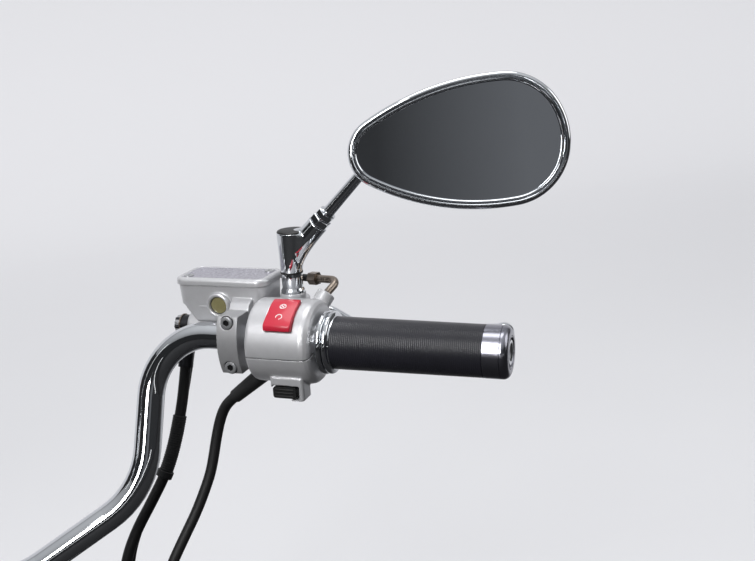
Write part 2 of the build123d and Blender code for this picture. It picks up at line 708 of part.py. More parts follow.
def cord(points, diameter, name):
    """Write a cord: straight runs joined by arcs as large as their shorter run allows."""
    corners = [Vector(*point) for point in points]
    runs = [after - before for before, after in zip(corners, corners[1:])]
    radii = [0.45 * min(one.length, two.length) / tan(radians(one.get_angle(two) / 2))
             for one, two in zip(runs, runs[1:])]
    with BuildPart() as tube:
        with BuildLine() as path:
            FilletPolyline(*corners, radius=radii)
        with BuildSketch(Plane(origin=path.line @ 0, z_dir=path.line % 0)):
            Circle(diameter / 2)
        sweep()
    length = sum(edge.length for edge in path.edges())
    print(f"{name}: {length:.0f} mm long, radii", [round(radius) for radius in radii],
          "volume ratio", round(tube.part.volume / (length * pi * diameter ** 2 / 4), 4))
    keep(tube.part, name)


cord(hose_points, hose_diameter, "brake_hose")
cord(wires_points, wires_diameter, "switch_wires")
cord(cable_points, cable_diameter, "throttle_cable")


def end_frame(points, at_start=False):
    """A cord's end: its last point, and the direction in which it goes on."""
    inner, tip = (points[1], points[0]) if at_start else (points[-2], points[-1])
    return Vector(*tip), (Vector(*tip) - Vector(*inner)).normalized()


def beyond(tip, heading, across=Vector(1, 0, 0)):
    """A plane whose x axis goes on from a cord's end."""
    return Plane(origin=tip, x_dir=heading, z_dir=heading.cross(across).cross(heading))


# Brake hose ends: crimp, pipe and eye at the master cylinder, and the same for the junction below
eye_radius = 8.5
eye_thickness = 7.6
crimp_radius = 6.4
crimp_length = 20
hose_pipe_radius = 3.6
tip, heading = end_frame(hose_points, at_start=True)
eye_centre = at(bore_housing_start - eye_thickness / 2, bore_y - 1, bore_z)
crimp_end = tip + heading * crimp_length
with BuildPart() as brake_hose_banjo:
    turned([(0, 0), (0, crimp_radius), (crimp_length - 2, crimp_radius), (crimp_length, crimp_radius - 1.6),
            (crimp_length, 0)], beyond(tip, heading))
    with BuildSketch(Plane(origin=crimp_end, z_dir=eye_centre - crimp_end)):
        Circle(hose_pipe_radius)
    extrude(amount=(eye_centre - crimp_end).length)
    with BuildSketch(section(bore_housing_start - eye_thickness, bore_y - 1, bore_z)):
        Circle(eye_radius)
    extrude(amount=eye_thickness)
    with BuildSketch(section(bore_housing_start - eye_thickness, bore_y - 1, bore_z)):
        RegularPolygon(8, 6)
    extrude(amount=-6)
keep(brake_hose_banjo.part, "brake_hose_banjo")

tip, heading = end_frame(hose_points)
eye_drop = crimp_length + 14
with BuildPart() as brake_hose_end:
    turned([(0, 0), (0, crimp_radius), (crimp_length - 2, crimp_radius), (crimp_length, crimp_radius - 1.6),
            (crimp_length, hose_pipe_radius), (eye_drop, hose_pipe_radius), (eye_drop, 0)], beyond(tip, heading))
    with BuildSketch(Plane(origin=tip + heading * eye_drop - Vector(eye_thickness / 2, 0, 0), z_dir=(1, 0, 0))):
        Circle(eye_radius)
    extrude(amount=eye_thickness)
    with BuildSketch(Plane(origin=tip + heading * eye_drop - Vector(eye_thickness, 0, 0), z_dir=(1, 0, 0))):
        Circle(5.1)
    extrude(amount=2 * eye_thickness, mode=Mode.SUBTRACT)
keep(brake_hose_end.part, "brake_hose_end")

# Switch wires: a rubber boot out of the housing, and a plug at the other end
boot_length = 44
boot_radius = 7
tip, heading = end_frame(wires_points, at_start=True)
with BuildPart() as switch_wires_boot:
    turned([(0, 0), (0, wires_diameter / 2 + 1.2), (boot_length, boot_radius), (boot_length, 0)],
           beyond(tip, heading))
    with BuildSketch(section(housing_start)):
        Circle(housing_radius)
    extrude(amount=housing_length, mode=Mode.SUBTRACT)
keep(switch_wires_boot.part, "switch_wires_boot")

tip, heading = end_frame(wires_points)
with BuildPart() as switch_wires_plug:
    plug_plane = Plane(origin=tip, z_dir=heading)
    with BuildSketch(plug_plane):
        RectangleRounded(24, 14, 2.5)
    extrude(amount=26)
    with BuildSketch(plug_plane.offset(26)):
        RectangleRounded(20, 10, 2)
    extrude(amount=8)
keep(switch_wires_plug.part, "switch_wires_plug")

# Throttle cable end: ferrule, bare inner wire and its nipple
tip, heading = end_frame(cable_points)
with BuildPart() as throttle_cable_end:
    turned([(0, 0), (0, 4), (16, 4), (18, 3), (30, 3), (30, 1), (52, 1), (52, 0)], beyond(tip, heading))
    with BuildSketch(Plane(origin=tip + heading * 52 - Vector(4, 0, 0), z_dir=(1, 0, 0))):
        Circle(3.2)
    extrude(amount=8)
keep(throttle_cable_end.part, "throttle_cable_end")
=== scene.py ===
"""Looks of a cruiser motorcycle's handlebar assembly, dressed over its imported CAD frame.

Sizes and places inside the classes are in millimetres, and the studio's are in metres. A piece is shaped in
the frame of what it sits on and then placed, which turns its millimetres into the metres of the shared frame:
+X to the rider's right, +Y forward, +Z up.
"""

import json
import logging
import math
from collections.abc import Callable, Iterator, Sequence
from contextlib import contextmanager
from dataclasses import dataclass
from enum import Enum

import bmesh
import bpy
from mathutils import Matrix, Vector
from mathutils.kdtree import KDTree

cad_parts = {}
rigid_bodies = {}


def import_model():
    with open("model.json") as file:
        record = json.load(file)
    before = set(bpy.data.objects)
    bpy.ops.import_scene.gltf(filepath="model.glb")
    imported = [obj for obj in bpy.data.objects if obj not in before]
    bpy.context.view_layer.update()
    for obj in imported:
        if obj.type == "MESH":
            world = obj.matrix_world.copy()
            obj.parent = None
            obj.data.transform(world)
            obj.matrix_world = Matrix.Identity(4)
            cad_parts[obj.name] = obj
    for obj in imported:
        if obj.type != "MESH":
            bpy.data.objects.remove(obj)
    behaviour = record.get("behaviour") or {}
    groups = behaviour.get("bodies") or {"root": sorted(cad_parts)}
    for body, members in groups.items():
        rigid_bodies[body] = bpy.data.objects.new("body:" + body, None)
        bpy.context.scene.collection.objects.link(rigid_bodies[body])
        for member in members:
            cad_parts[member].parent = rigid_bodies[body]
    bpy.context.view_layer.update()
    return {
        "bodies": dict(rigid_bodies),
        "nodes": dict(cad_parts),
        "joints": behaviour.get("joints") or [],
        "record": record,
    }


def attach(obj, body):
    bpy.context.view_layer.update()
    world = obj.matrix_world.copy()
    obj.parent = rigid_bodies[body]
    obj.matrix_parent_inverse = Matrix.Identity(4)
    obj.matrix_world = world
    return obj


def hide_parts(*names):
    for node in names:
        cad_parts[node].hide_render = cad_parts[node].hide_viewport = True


LOG = logging.getLogger("handlebar")
MM = 0.001
Point = tuple[float, float, float]
Profile = Sequence[tuple[float, float]]
Settings = dict[str | int, object]
Links = dict[str | int, bpy.types.NodeSocket]


@dataclass(frozen=True)
class BarEnd:
    """The frame of the right-hand grip: along the tube, forward across it and up, from the tube's last bend.

    Attributes:
        hub: The corner of the tube's last bend, where the frame starts.
        pull_back: How far the grip points back, in degrees.
        droop: How far it points down, in degrees.
    """

    hub: Point = (201, 40, 172)
    pull_back: float = 35
    droop: float = 2

    @property
    def out(self) -> Vector:
        """Direction along the grip, away from the middle."""
        back, down = math.radians(self.pull_back), math.radians(self.droop)
        return Vector((math.cos(back) * math.cos(down), -math.sin(back) * math.cos(down), -math.sin(down)))

    @property
    def forward(self) -> Vector:
        """Direction across the grip, away from the rider."""
        back = math.radians(self.pull_back)
        return Vector((math.sin(back), math.cos(back), 0))

    @property
    def up(self) -> Vector:
        """Direction square to the other two."""
        return self.out.cross(self.forward)

    def at(self, along: float, forward: float = 0, above: float = 0) -> Vector:
        """Give a point of this frame in the shared frame, in millimetres."""
        return Vector(self.hub) + self.out * along + self.forward * forward + self.up * above

    def frame(self, along: float = 0, forward: float = 0, above: float = 0) -> Matrix:
        """Give the matrix whose x, y and z run out, forward and up from a point, and turn mm to metres."""
        return frame_of(self.at(along, forward, above), self.out, self.forward, self.up)

    def turned_frame(self, along: float) -> Matrix:
        """Give the matrix of a piece turned about the bar: its z runs out along the grip."""
        return frame_of(self.at(along), self.forward, self.up, self.out)


def frame_of(origin: Vector, x_axis: Vector, y_axis: Vector, z_axis: Vector) -> Matrix:
    """Give the matrix from a piece's own millimetres to the shared frame's metres.

    Args:
        origin: The piece's origin, in the shared frame's millimetres.
        x_axis: Where its x axis points.
        y_axis: Where its y axis points.
        z_axis: Where its z axis points.

    Returns:
        The matrix that place() takes.
    """
    turn = Matrix((x_axis.normalized(), y_axis.normalized(), z_axis.normalized())).transposed()
    return Matrix.Translation(origin * MM) @ turn.to_4x4() @ Matrix.Scale(MM, 4)


def facing(origin: Vector, z_axis: Vector, x_hint: Vector) -> Matrix:
    """Give the matrix of a piece whose z axis points one way and whose x axis lies near another.

    Args:
        origin: The piece's origin, in millimetres.
        z_axis: Where its z axis points.
        x_hint: A direction near its x axis.

    Returns:
        The matrix that place() takes.
    """
    y_axis = z_axis.cross(x_hint).normalized()
    return frame_of(origin, y_axis.cross(z_axis), y_axis, z_axis)


def polar(reach: float, angle: float) -> tuple[float, float]:
    """Give the point that lies at a reach from the middle, at an angle in radians."""
    return reach * math.cos(angle), reach * math.sin(angle)


BAR = BarEnd()


def clear_selection() -> None:
    """Leave edit mode and deselect everything."""
    if bpy.context.mode != "OBJECT":
        bpy.ops.object.mode_set(mode="OBJECT")
    bpy.ops.object.select_all(action="DESELECT")


def pick(piece: bpy.types.Object) -> None:
    """Make a piece the only one selected, and the active one.

    Args:
        piece: The piece.
    """
    clear_selection()
    piece.select_set(True)
    bpy.context.view_layer.objects.active = piece


@contextmanager
def editing(piece: bpy.types.Object) -> Iterator[bmesh.types.BMesh]:
    """Open a piece in edit mode with nothing selected, and close it again.

    Args:
        piece: The mesh object to edit.

    Yields:
        The edit mesh as it is when the mode starts.
    """
    pick(piece)
    bpy.ops.object.mode_set(mode="EDIT")
    bpy.ops.mesh.select_mode(type="VERT")
    bpy.ops.mesh.select_all(action="DESELECT")
    yield bmesh.from_edit_mesh(piece.data)
    bpy.ops.object.mode_set(mode="OBJECT")


def delete_faces(piece: bpy.types.Object, unwanted: Callable[[bmesh.types.BMFace], bool],
                 kind: str = "FACE") -> None:
    """Delete the faces of a piece that pass a test.

    Args:
        piece: The mesh object.
        unwanted: The test, which takes a face.
        kind: FACE takes the edges that are left over too, ONLY_FACE leaves them.
    """
    with editing(piece):
        bpy.ops.mesh.select_mode(type="FACE")
        bpy.ops.mesh.select_all(action="DESELECT")
        mesh = bmesh.from_edit_mesh(piece.data)
        for face in mesh.faces:
            face.select = unwanted(face)
        bmesh.update_edit_mesh(piece.data)
        bpy.ops.mesh.delete(type=kind)


def weld(piece: bpy.types.Object) -> bpy.types.Object:
    """Merge a piece's double points and turn its faces outwards.

    Args:
        piece: The piece, in its own millimetres.

    Returns:
        The piece.
    """
    with editing(piece):
        bpy.ops.mesh.select_all(action="SELECT")
        bpy.ops.mesh.remove_doubles(threshold=0.001)
        bpy.ops.mesh.normals_make_consistent(inside=False)
    return piece


def named(name: str) -> bpy.types.Object:
    """Name the primitive that was just added.

    Args:
        name: The name for the object and its mesh.

    Returns:
        The primitive.
    """
    piece = bpy.context.active_object
    piece.name = piece.data.name = name
    return piece


def place(piece: bpy.types.Object, matrix: Matrix) -> bpy.types.Object:
    """Put a piece's mesh in its place and leave its object at the origin.

    Args:
        piece: The piece.
        matrix: Where its mesh goes. Under a mirroring matrix the faces are turned round again.

    Returns:
        The piece.
    """
    piece.data.transform(matrix)
    if matrix.determinant() < 0:
        piece.data.flip_normals()
    return piece


def apply_modifier(piece: bpy.types.Object, kind: str, **settings: object) -> bpy.types.Object:
    """Add a modifier to a piece and apply it.

    Args:
        piece: The piece.
        kind: The modifier's type.
        **settings: Its properties.

    Returns:
        The piece.
    """
    pick(piece)
    modifier = piece.modifiers.new(kind.lower(), kind)
    for setting, value in settings.items():
        setattr(modifier, setting, value)
    bpy.ops.object.modifier_apply(modifier=modifier.name)
    return piece


def smooth(piece: bpy.types.Object, angle: float = 35) -> bpy.types.Object:
    """Shade a piece smooth, apart from its sharp edges.

    Args:
        piece: The piece.
        angle: From how many degrees an edge is sharp.

    Returns:
        The piece.
    """
    pick(piece)
    bpy.ops.object.shade_smooth_by_angle(angle=math.radians(angle))
    return piece


def lofted(name: str, rings: Sequence[Sequence[Point]], caps: bool = True) -> bpy.types.Object:
    """Extrude a circle's edge through loops of points, ring after ring.

    Args:
        name: The piece's name.
        rings: Loops with the same number of points each.
        caps: Whether the first and the last loop are filled.

    Returns:
        The piece, in its own millimetres.
    """
    clear_selection()
    bpy.ops.mesh.primitive_circle_add(vertices=len(rings[0]), radius=1)
    piece = named(name)
    for vertex, point in zip(piece.data.vertices, rings[0]):
        vertex.co = point
    with editing(piece):
        bpy.ops.mesh.select_all(action="SELECT")
        if caps:
            bpy.ops.mesh.edge_face_add()
        for before, after in zip(rings, rings[1:]):
            select_loop(piece, before)
            bpy.ops.mesh.extrude_edges_move()
            move_loop(piece, before, after)
        if caps:
            bpy.ops.mesh.edge_face_add()
        bpy.ops.mesh.select_all(action="SELECT")
        bpy.ops.mesh.normals_make_consistent(inside=False)
    return piece


def select_loop(piece: bpy.types.Object, loop: Sequence[Point]) -> None:
    """Select the edges of the loop that was made last.

    Args:
        piece: The piece in edit mode.
        loop: The loop's points, which are the newest vertices.
    """
    bpy.ops.mesh.select_mode(type="EDGE")
    bpy.ops.mesh.select_all(action="DESELECT")
    mesh = bmesh.from_edit_mesh(piece.data)
    mesh.verts.ensure_lookup_table()
    newest = set(mesh.verts[-len(loop):])
    for edge in mesh.edges:
        edge.select = edge.verts[0] in newest and edge.verts[1] in newest
    bmesh.update_edit_mesh(piece.data)


def move_loop(piece: bpy.types.Object, before: Sequence[Point], after: Sequence[Point]) -> None:
    """Move the loop that was just extruded.

    Args:
        piece: The piece in edit mode.
        before: The points where it is.
        after: The points where they go, in the same order.
    """
    mesh = bmesh.from_edit_mesh(piece.data)
    mesh.verts.ensure_lookup_table()
    places = KDTree(len(before))
    for index, point in enumerate(before):
        places.insert(point, index)
    places.balance()
    for vertex in mesh.verts[-len(before):]:
        vertex.co = after[places.find(vertex.co)[1]]
    bmesh.update_edit_mesh(piece.data)


def turned(name: str, profile: Profile, segments: int = 64, closed: bool = False) -> bpy.types.Object:
    """Turn a profile about the z axis.

    Args:
        name: The piece's name.
        profile: Points of (along z, radius). A radius near nothing closes to a pole.
        segments: How many flats there are round it.
        closed: Whether the profile's last point joins its first, as on a ring.

    Returns:
        The piece, in its own millimetres.
    """
    angles = [2 * math.pi * step / segments for step in range(segments)]
    points = [*profile, profile[0]] if closed else profile
    rings = [[(*polar(radius, angle), along) for angle in angles] for along, radius in points]
    piece = lofted(name, rings, caps=not closed)
    return smooth(weld(piece) if closed else piece)


def arc_profile(centre: tuple[float, float], radius: float, start: float, end: float,
                steps: int = 6) -> list[tuple[float, float]]:
    """Give points along an arc of a turned profile, with its angles in degrees from the z axis to outward."""
    angles = [math.radians(start + (end - start) * step / steps) for step in range(steps + 1)]
    return [(centre[0] + along, centre[1] + out) for along, out in (polar(radius, angle) for angle in angles)]


def merged_copy(node: str, name: str) -> bpy.types.Object:
    """Copy a CAD node's mesh and merge its loose triangles.

    Args:
        node: The CAD node.
        name: The copy's name.

    Returns:
        The copy, which rides on nothing yet.
    """
    source = bpy.data.objects[node]
    piece = bpy.data.objects.new(name, source.data.copy())
    piece.data.name = name
    piece.data.materials.clear()
    bpy.context.scene.collection.objects.link(piece)
    with editing(piece):
        bpy.ops.mesh.select_all(action="SELECT")
        bpy.ops.mesh.customdata_custom_splitnormals_clear()
        bpy.ops.mesh.remove_doubles(threshold=0.00001)
        bpy.ops.mesh.tris_convert_to_quads()
    return piece


def recast(piece: bpy.types.Object, grain: float, rounds: int, faces: int = 0,
           share: float = 1) -> bpy.types.Object:
    """Turn a piece into one closed skin with soft edges and fillets.

    Args:
        piece: The piece, in its place.
        grain: The size of its new faces, in millimetres.
        rounds: How often the faces are evened out: more rounds give larger fillets.
        faces: About how many faces it may keep, or 0 to go by share.
        share: The share of its faces that it keeps.

    Returns:
        The piece.
    """
    apply_modifier(piece, "REMESH", mode="VOXEL", voxel_size=grain * MM, adaptivity=0)
    apply_modifier(piece, "SMOOTH", factor=0.5, iterations=rounds)
    if faces:
        share = min(1, faces / len(piece.data.polygons))
    if share < 1:
        apply_modifier(piece, "DECIMATE", ratio=share)
    pick(piece)
    bpy.ops.object.shade_smooth()
    return piece


def cast(node: str, grain: float = 0.7, rounds: int = 8, faces: int = 0) -> bpy.types.Object:
    """Recast a CAD node with the soft edges and fillets that a die casting has.

    Args:
        node: The CAD node, which the casting then replaces.
        grain: The size of its faces, in millimetres.
        rounds: How often the faces are evened out: more rounds give larger fillets.
        faces: About how many faces it may keep, or 0 for all.

    Returns:
        The casting, which rides on nothing yet.
    """
    piece = recast(merged_copy(node, f"{node}_casting"), grain, rounds, faces)
    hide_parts(node)
    return piece


def body_of(node: str) -> str:
    """Give the body that a CAD node rides on."""
    return next(body for body, members in FRAME["record"]["behaviour"]["bodies"].items() if node in members)


def twin(piece: bpy.types.Object, name: str) -> bpy.types.Object:
    """Copy a right-hand piece as its left-hand mirror image, with a mesh of its own.

    Args:
        piece: The right-hand piece, in its place.
        name: The copy's name.

    Returns:
        The copy, which rides on nothing and replaces nothing yet.
    """
    other = piece.copy()
    other.data = piece.data.copy()
    other.name = other.data.name = name
    other.parent = None
    for key in list(other.keys()):
        del other[key]
    bpy.context.scene.collection.objects.link(other)
    return place(other, Matrix.Scale(-1, 4, (1, 0, 0)))


def linear(code: str) -> tuple[float, float, float, float]:
    """Turn an sRGB hex colour into linear light, with full alpha."""
    values = [int(code[start:start + 2], 16) / 255 for start in (1, 3, 5)]
    light = [value / 12.92 if value <= 0.04045 else ((value + 0.055) / 1.055) ** 2.4 for value in values]
    return (*light, 1.0)


def adjust(tree: bpy.types.NodeTree, node: bpy.types.Node, settings: Settings, links: Links) -> None:
    """Set and link a node of a tree.

    Args:
        tree: The node tree.
        node: The node.
        settings: Values, by the name of a property, or by the name or number of an input.
        links: Sockets to link from, by the name or number of an input.
    """
    for key, value in settings.items():
        if isinstance(key, int) or key in node.inputs:
            node.inputs[key].default_value = value
        else:
            setattr(node, key, value)
    for key, socket in links.items():
        tree.links.new(socket, node.inputs[key])


def add_node(tree: bpy.types.NodeTree, kind: str, settings: Settings | None = None,
             links: Links | None = None) -> bpy.types.Node:
    """Add a node to a tree.

    Args:
        tree: The node tree.
        kind: The node's type.
        settings: As in adjust().
        links: As in adjust().

    Returns:
        The node.
    """
    node = tree.nodes.new(kind)
    adjust(tree, node, settings or {}, links or {})
    return node


@dataclass(frozen=True)
class Finish:
    """One real finish: its colour, gloss and the fine pattern of its surface.

    Attributes:
        name: What the finish really is, and how its surface was made.
        colour: Its main colour, as sRGB hex.
        second: The colour that its mottling reaches, as sRGB hex.
        metallic: 1 for bare metal, 0 for paint, plastic and rubber.
        roughness: The mean roughness.
        roughness_spread: How far the roughness wanders either way.
        mottle_mm: The size of the colour's mottling.
        grain_mm: The size of the surface's grain.
        grain_height: How strongly the grain shows.
        coat: The strength of a clear coat or plating's gloss.
        edge_mm: How wide the soft edges look, 0 for none.
    """

    name: str
    colour: str
    second: str
    metallic: float = 0
    roughness: float = 0.4
    roughness_spread: float = 0.06
    mottle_mm: float = 20
    grain_mm: float = 0.5
    grain_height: float = 0.05
    coat: float = 0
    edge_mm: float = 0

    def material(self) -> bpy.types.Material:
        """Build the finish as a node material.

        Returns:
            The material.
        """
        material = bpy.data.materials.new(self.name)
        material.use_nodes = True
        tree = material.node_tree
        where = add_node(tree, "ShaderNodeTexCoord").outputs["Object"]
        mottle = add_node(tree, "ShaderNodeTexNoise", {"Scale": 1 / (self.mottle_mm * MM), "Detail": 3},
                          {"Vector": where}).outputs["Fac"]
        colour = add_node(tree, "ShaderNodeMix", {"data_type": "RGBA", 6: linear(self.colour),
                                                  7: linear(self.second)}, {0: mottle})
        smoothest, roughest = self.roughness - self.roughness_spread, self.roughness + self.roughness_spread
        gloss = add_node(tree, "ShaderNodeMapRange", {"To Min": max(0.01, smoothest), "To Max": roughest},
                         {"Value": mottle})
        grain = add_node(tree, "ShaderNodeTexNoise", {"Scale": 1 / (self.grain_mm * MM), "Detail": 2},
                         {"Vector": where})
        bump = add_node(tree, "ShaderNodeBump",
                        {"Strength": self.grain_height, "Distance": self.grain_mm * MM},
                        {"Height": grain.outputs["Fac"]})
        if self.edge_mm:
            edge = add_node(tree, "ShaderNodeBevel", {"samples": 4, "Radius": self.edge_mm * MM})
            adjust(tree, bump, {}, {"Normal": edge.outputs["Normal"]})
        adjust(tree, tree.nodes["Principled BSDF"],
               {"Metallic": self.metallic, "Coat Weight": self.coat, "Coat Roughness": 0.08},
               {"Base Color": colour.outputs[2], "Roughness": gloss.outputs["Result"],
                "Normal": bump.outputs["Normal"]})
        return material


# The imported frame, and each CAD node's material slot: main() fills both in
FRAME: dict = {}
SLOTS: dict[str, str] = {}
# The nodes whose finish is a variant of their slot's; the clamps' darker alloy is painted shade
VARIANTS = {"master_cylinder_clamp": "dull_alloy", "clutch_perch_clamp": "dull_alloy",
            # The banjo's dark metal is a painted reflection of dark surroundings
            "right_grip_cap": "worn_chrome", "left_grip_cap": "worn_chrome", "brake_hose_banjo": "black_zinc"}
FINISHES = {
    # Polished nickel-chrome plating: a bluish mirror with a hardly uneven surface
    "chrome": Finish("chrome plate on polished steel", "#DEE0E3", "#CFD2D6", metallic=1, roughness=0.055,
                     roughness_spread=0.02, mottle_mm=35, grain_mm=1.2, grain_height=0.004),
    # Aluminium die casting under silver metallic lacquer: a soft sheen over a fine sparkle
    "cast_alloy": Finish("silver lacquer on die-cast aluminium", "#C6C6C9", "#B9B9BB", metallic=0.4,
                         roughness=0.36, mottle_mm=6, grain_mm=0.35, grain_height=0.06, coat=0.25,
                         edge_mm=0.4),
    # Moulded natural rubber: dark, dry and slightly greasy where hands go
    "grip_rubber": Finish("moulded grip rubber", "#25252C", "#1B1B20", roughness=0.33,
                          roughness_spread=0.05, mottle_mm=14, grain_mm=0.6, grain_height=0.1),
    # Injection-moulded black ABS with a spark-eroded grain: dull, with soft edges
    "black_plastic": Finish("grained black ABS", "#0D0D0E", "#141415", roughness=0.52, grain_mm=0.4,
                            grain_height=0.2, edge_mm=0.4),
    # Red ABS rocker, smooth from a polished mould
    "red_plastic": Finish("moulded red ABS", "#C3223A", "#B81E34", roughness=0.34, grain_mm=0.5,
                          grain_height=0.06, coat=0.2, edge_mm=0.3),
    # Float glass silvered on the back: a flawless mirror, a little dimmed by the glass
    "mirror_silver": Finish("silvered mirror glass", "#D3D6DA", "#CDD0D4", metallic=1, roughness=0.025,
                            roughness_spread=0.01, mottle_mm=60, grain_mm=4, grain_height=0.001),
    # Aluminium turned and tumbled bright, without lacquer: a white sheen
    "satin_alloy": Finish("satin-turned aluminium", "#D9D9DC", "#CFCFD2", metallic=0.6, roughness=0.3,
                          roughness_spread=0.05, mottle_mm=3, grain_mm=0.3, grain_height=0.05),
    # Clear disc with brake fluid behind it: glossy, and tinted by the fluid
    "sight_glass": Finish("glass disc over brake fluid", "#8C8663", "#6A6443", roughness=0.12, mottle_mm=6,
                          grain_mm=1, grain_height=0.02, coat=1),
    # Extruded EPDM rubber hose and PVC sleeve: an even, dull black
    "hose_rubber": Finish("extruded EPDM rubber", "#0A0A0B", "#101011", roughness=0.55, grain_mm=0.5,
                          grain_height=0.12),
    # Zinc plating passivated yellow: brassy and uneven
    "plated_steel": Finish("yellow passivated zinc on steel", "#9C9085", "#7B7067", metallic=1, roughness=0.3,
                           roughness_spread=0.1, mottle_mm=5, grain_mm=0.5, grain_height=0.05),
    # Soft moulded rubber boots and seals: a dry black, greyer than the hoses
    "black_rubber": Finish("moulded black rubber", "#151516", "#1B1B1C", roughness=0.6, grain_mm=0.5,
                           grain_height=0.15),
    # Dry injection-moulded nylon: a dark grey with a low sheen
    "nylon": Finish("moulded nylon", "#1D1D1E", "#242425", roughness=0.5, grain_mm=0.5, grain_height=0.1),
    # Turned or headed steel under bright zinc, dulled by weather: a soft grey glint
    "bolt_steel": Finish("bright zinc on steel", "#B4B5B7", "#A2A3A6", metallic=0.7, roughness=0.36,
                         roughness_spread=0.08, mottle_mm=4, grain_mm=0.3, grain_height=0.05),
    # The lid's casting with an orange-peel texture from its mould, drawn coarser than life so that it shows
    "pebbled_alloy": Finish("pebbled silver die-cast aluminium", "#5B5865", "#C2C0CB", metallic=0.5,
                            roughness=0.36, mottle_mm=2.2, grain_mm=2.6, grain_height=1, coat=0.4),
    # The clamps' alloy: the housings' silver lacquer made darker, painted shade for their dimmer flat faces
    "dull_alloy": Finish("thin lacquer on tumbled aluminium", "#A9A9AB", "#9B9B9D", metallic=0.5,
                         roughness=0.42, mottle_mm=5, grain_mm=0.4, grain_height=0.1, coat=0.15, edge_mm=0.3),
    # Chrome plating over a turned cap, dulled by hands: its reflections are soft
    "worn_chrome": Finish("hand-worn chrome plate", "#9C9CA5", "#8A8A93", metallic=1, roughness=0.23,
                          roughness_spread=0.06, mottle_mm=9, grain_mm=0.8, grain_height=0.03),
    # The hose's crimp: dark steel with a faint gleam, painted to stand in for the dark surroundings its
    # plating reflects
    "black_zinc": Finish("black zinc-nickel on steel", "#2C2C2F", "#3A3A3D", metallic=0.9, roughness=0.36,
                         mottle_mm=4, grain_mm=0.4, grain_height=0.06),
    # Painted shade: a near-black colour on the deep recess of a screw head, standing in for the shade inside
    # it
    "oxide": Finish("black oxide on steel", "#101011", "#19191A", metallic=0.3, grain_mm=0.3),
    # Pad-printed white enamel ink: flat and slightly chalky
    "ink": Finish("white enamel ink", "#E9E6E6", "#DEDADA", roughness=0.5, grain_mm=0.4, grain_height=0.05),
}


@dataclass(frozen=True)
class Lamp:
    """A soft lamp aimed at the right-hand grip, round where it is as wide as it is high.

    Attributes:
        name: The lamp's name.
        at: Where it hangs, in metres.
        width: Its width, in metres.
        height: Its height, in metres.
        watts: Its power.
    """

    name: str
    at: Point
    width: float
    height: float
    watts: float

    def hang(self) -> None:
        """Hang the lamp."""
        data = bpy.data.lights.new(self.name, "AREA")
        data.shape = "DISK" if self.width == self.height else "RECTANGLE"
        data.size, data.size_y = self.width, self.height
        data.energy = self.watts
        lamp = bpy.data.objects.new(self.name, data)
        bpy.context.scene.collection.objects.link(lamp)
        lamp.location = self.at
        lamp.rotation_mode = "QUATERNION"
        lamp.rotation_quaternion = (LAMPS_AIM_AT - Vector(self.at)).to_track_quat("-Z", "Y")


LAMPS_AIM_AT = Vector((0.3, 0, 0.15))
LAMPS = (Lamp("key", (-0.7, -1.1, 1.5), 0.9, 0.9, 17), Lamp("front", (-0.8, -1.45, 0.85), 0.5, 0.5, 14),
         Lamp("top", (0.5, 0.2, 1.7), 1.1, 1.1, 10), Lamp("fill", (1.9, -0.6, 0.9), 1.2, 1.2, 7),
         Lamp("strip", (0.1, -1.7, 0.2), 2.4, 0.035, 0.6),
         Lamp("upright strip", (-1.7, -0.3, 0.5), 0.05, 1.3, 0.5))


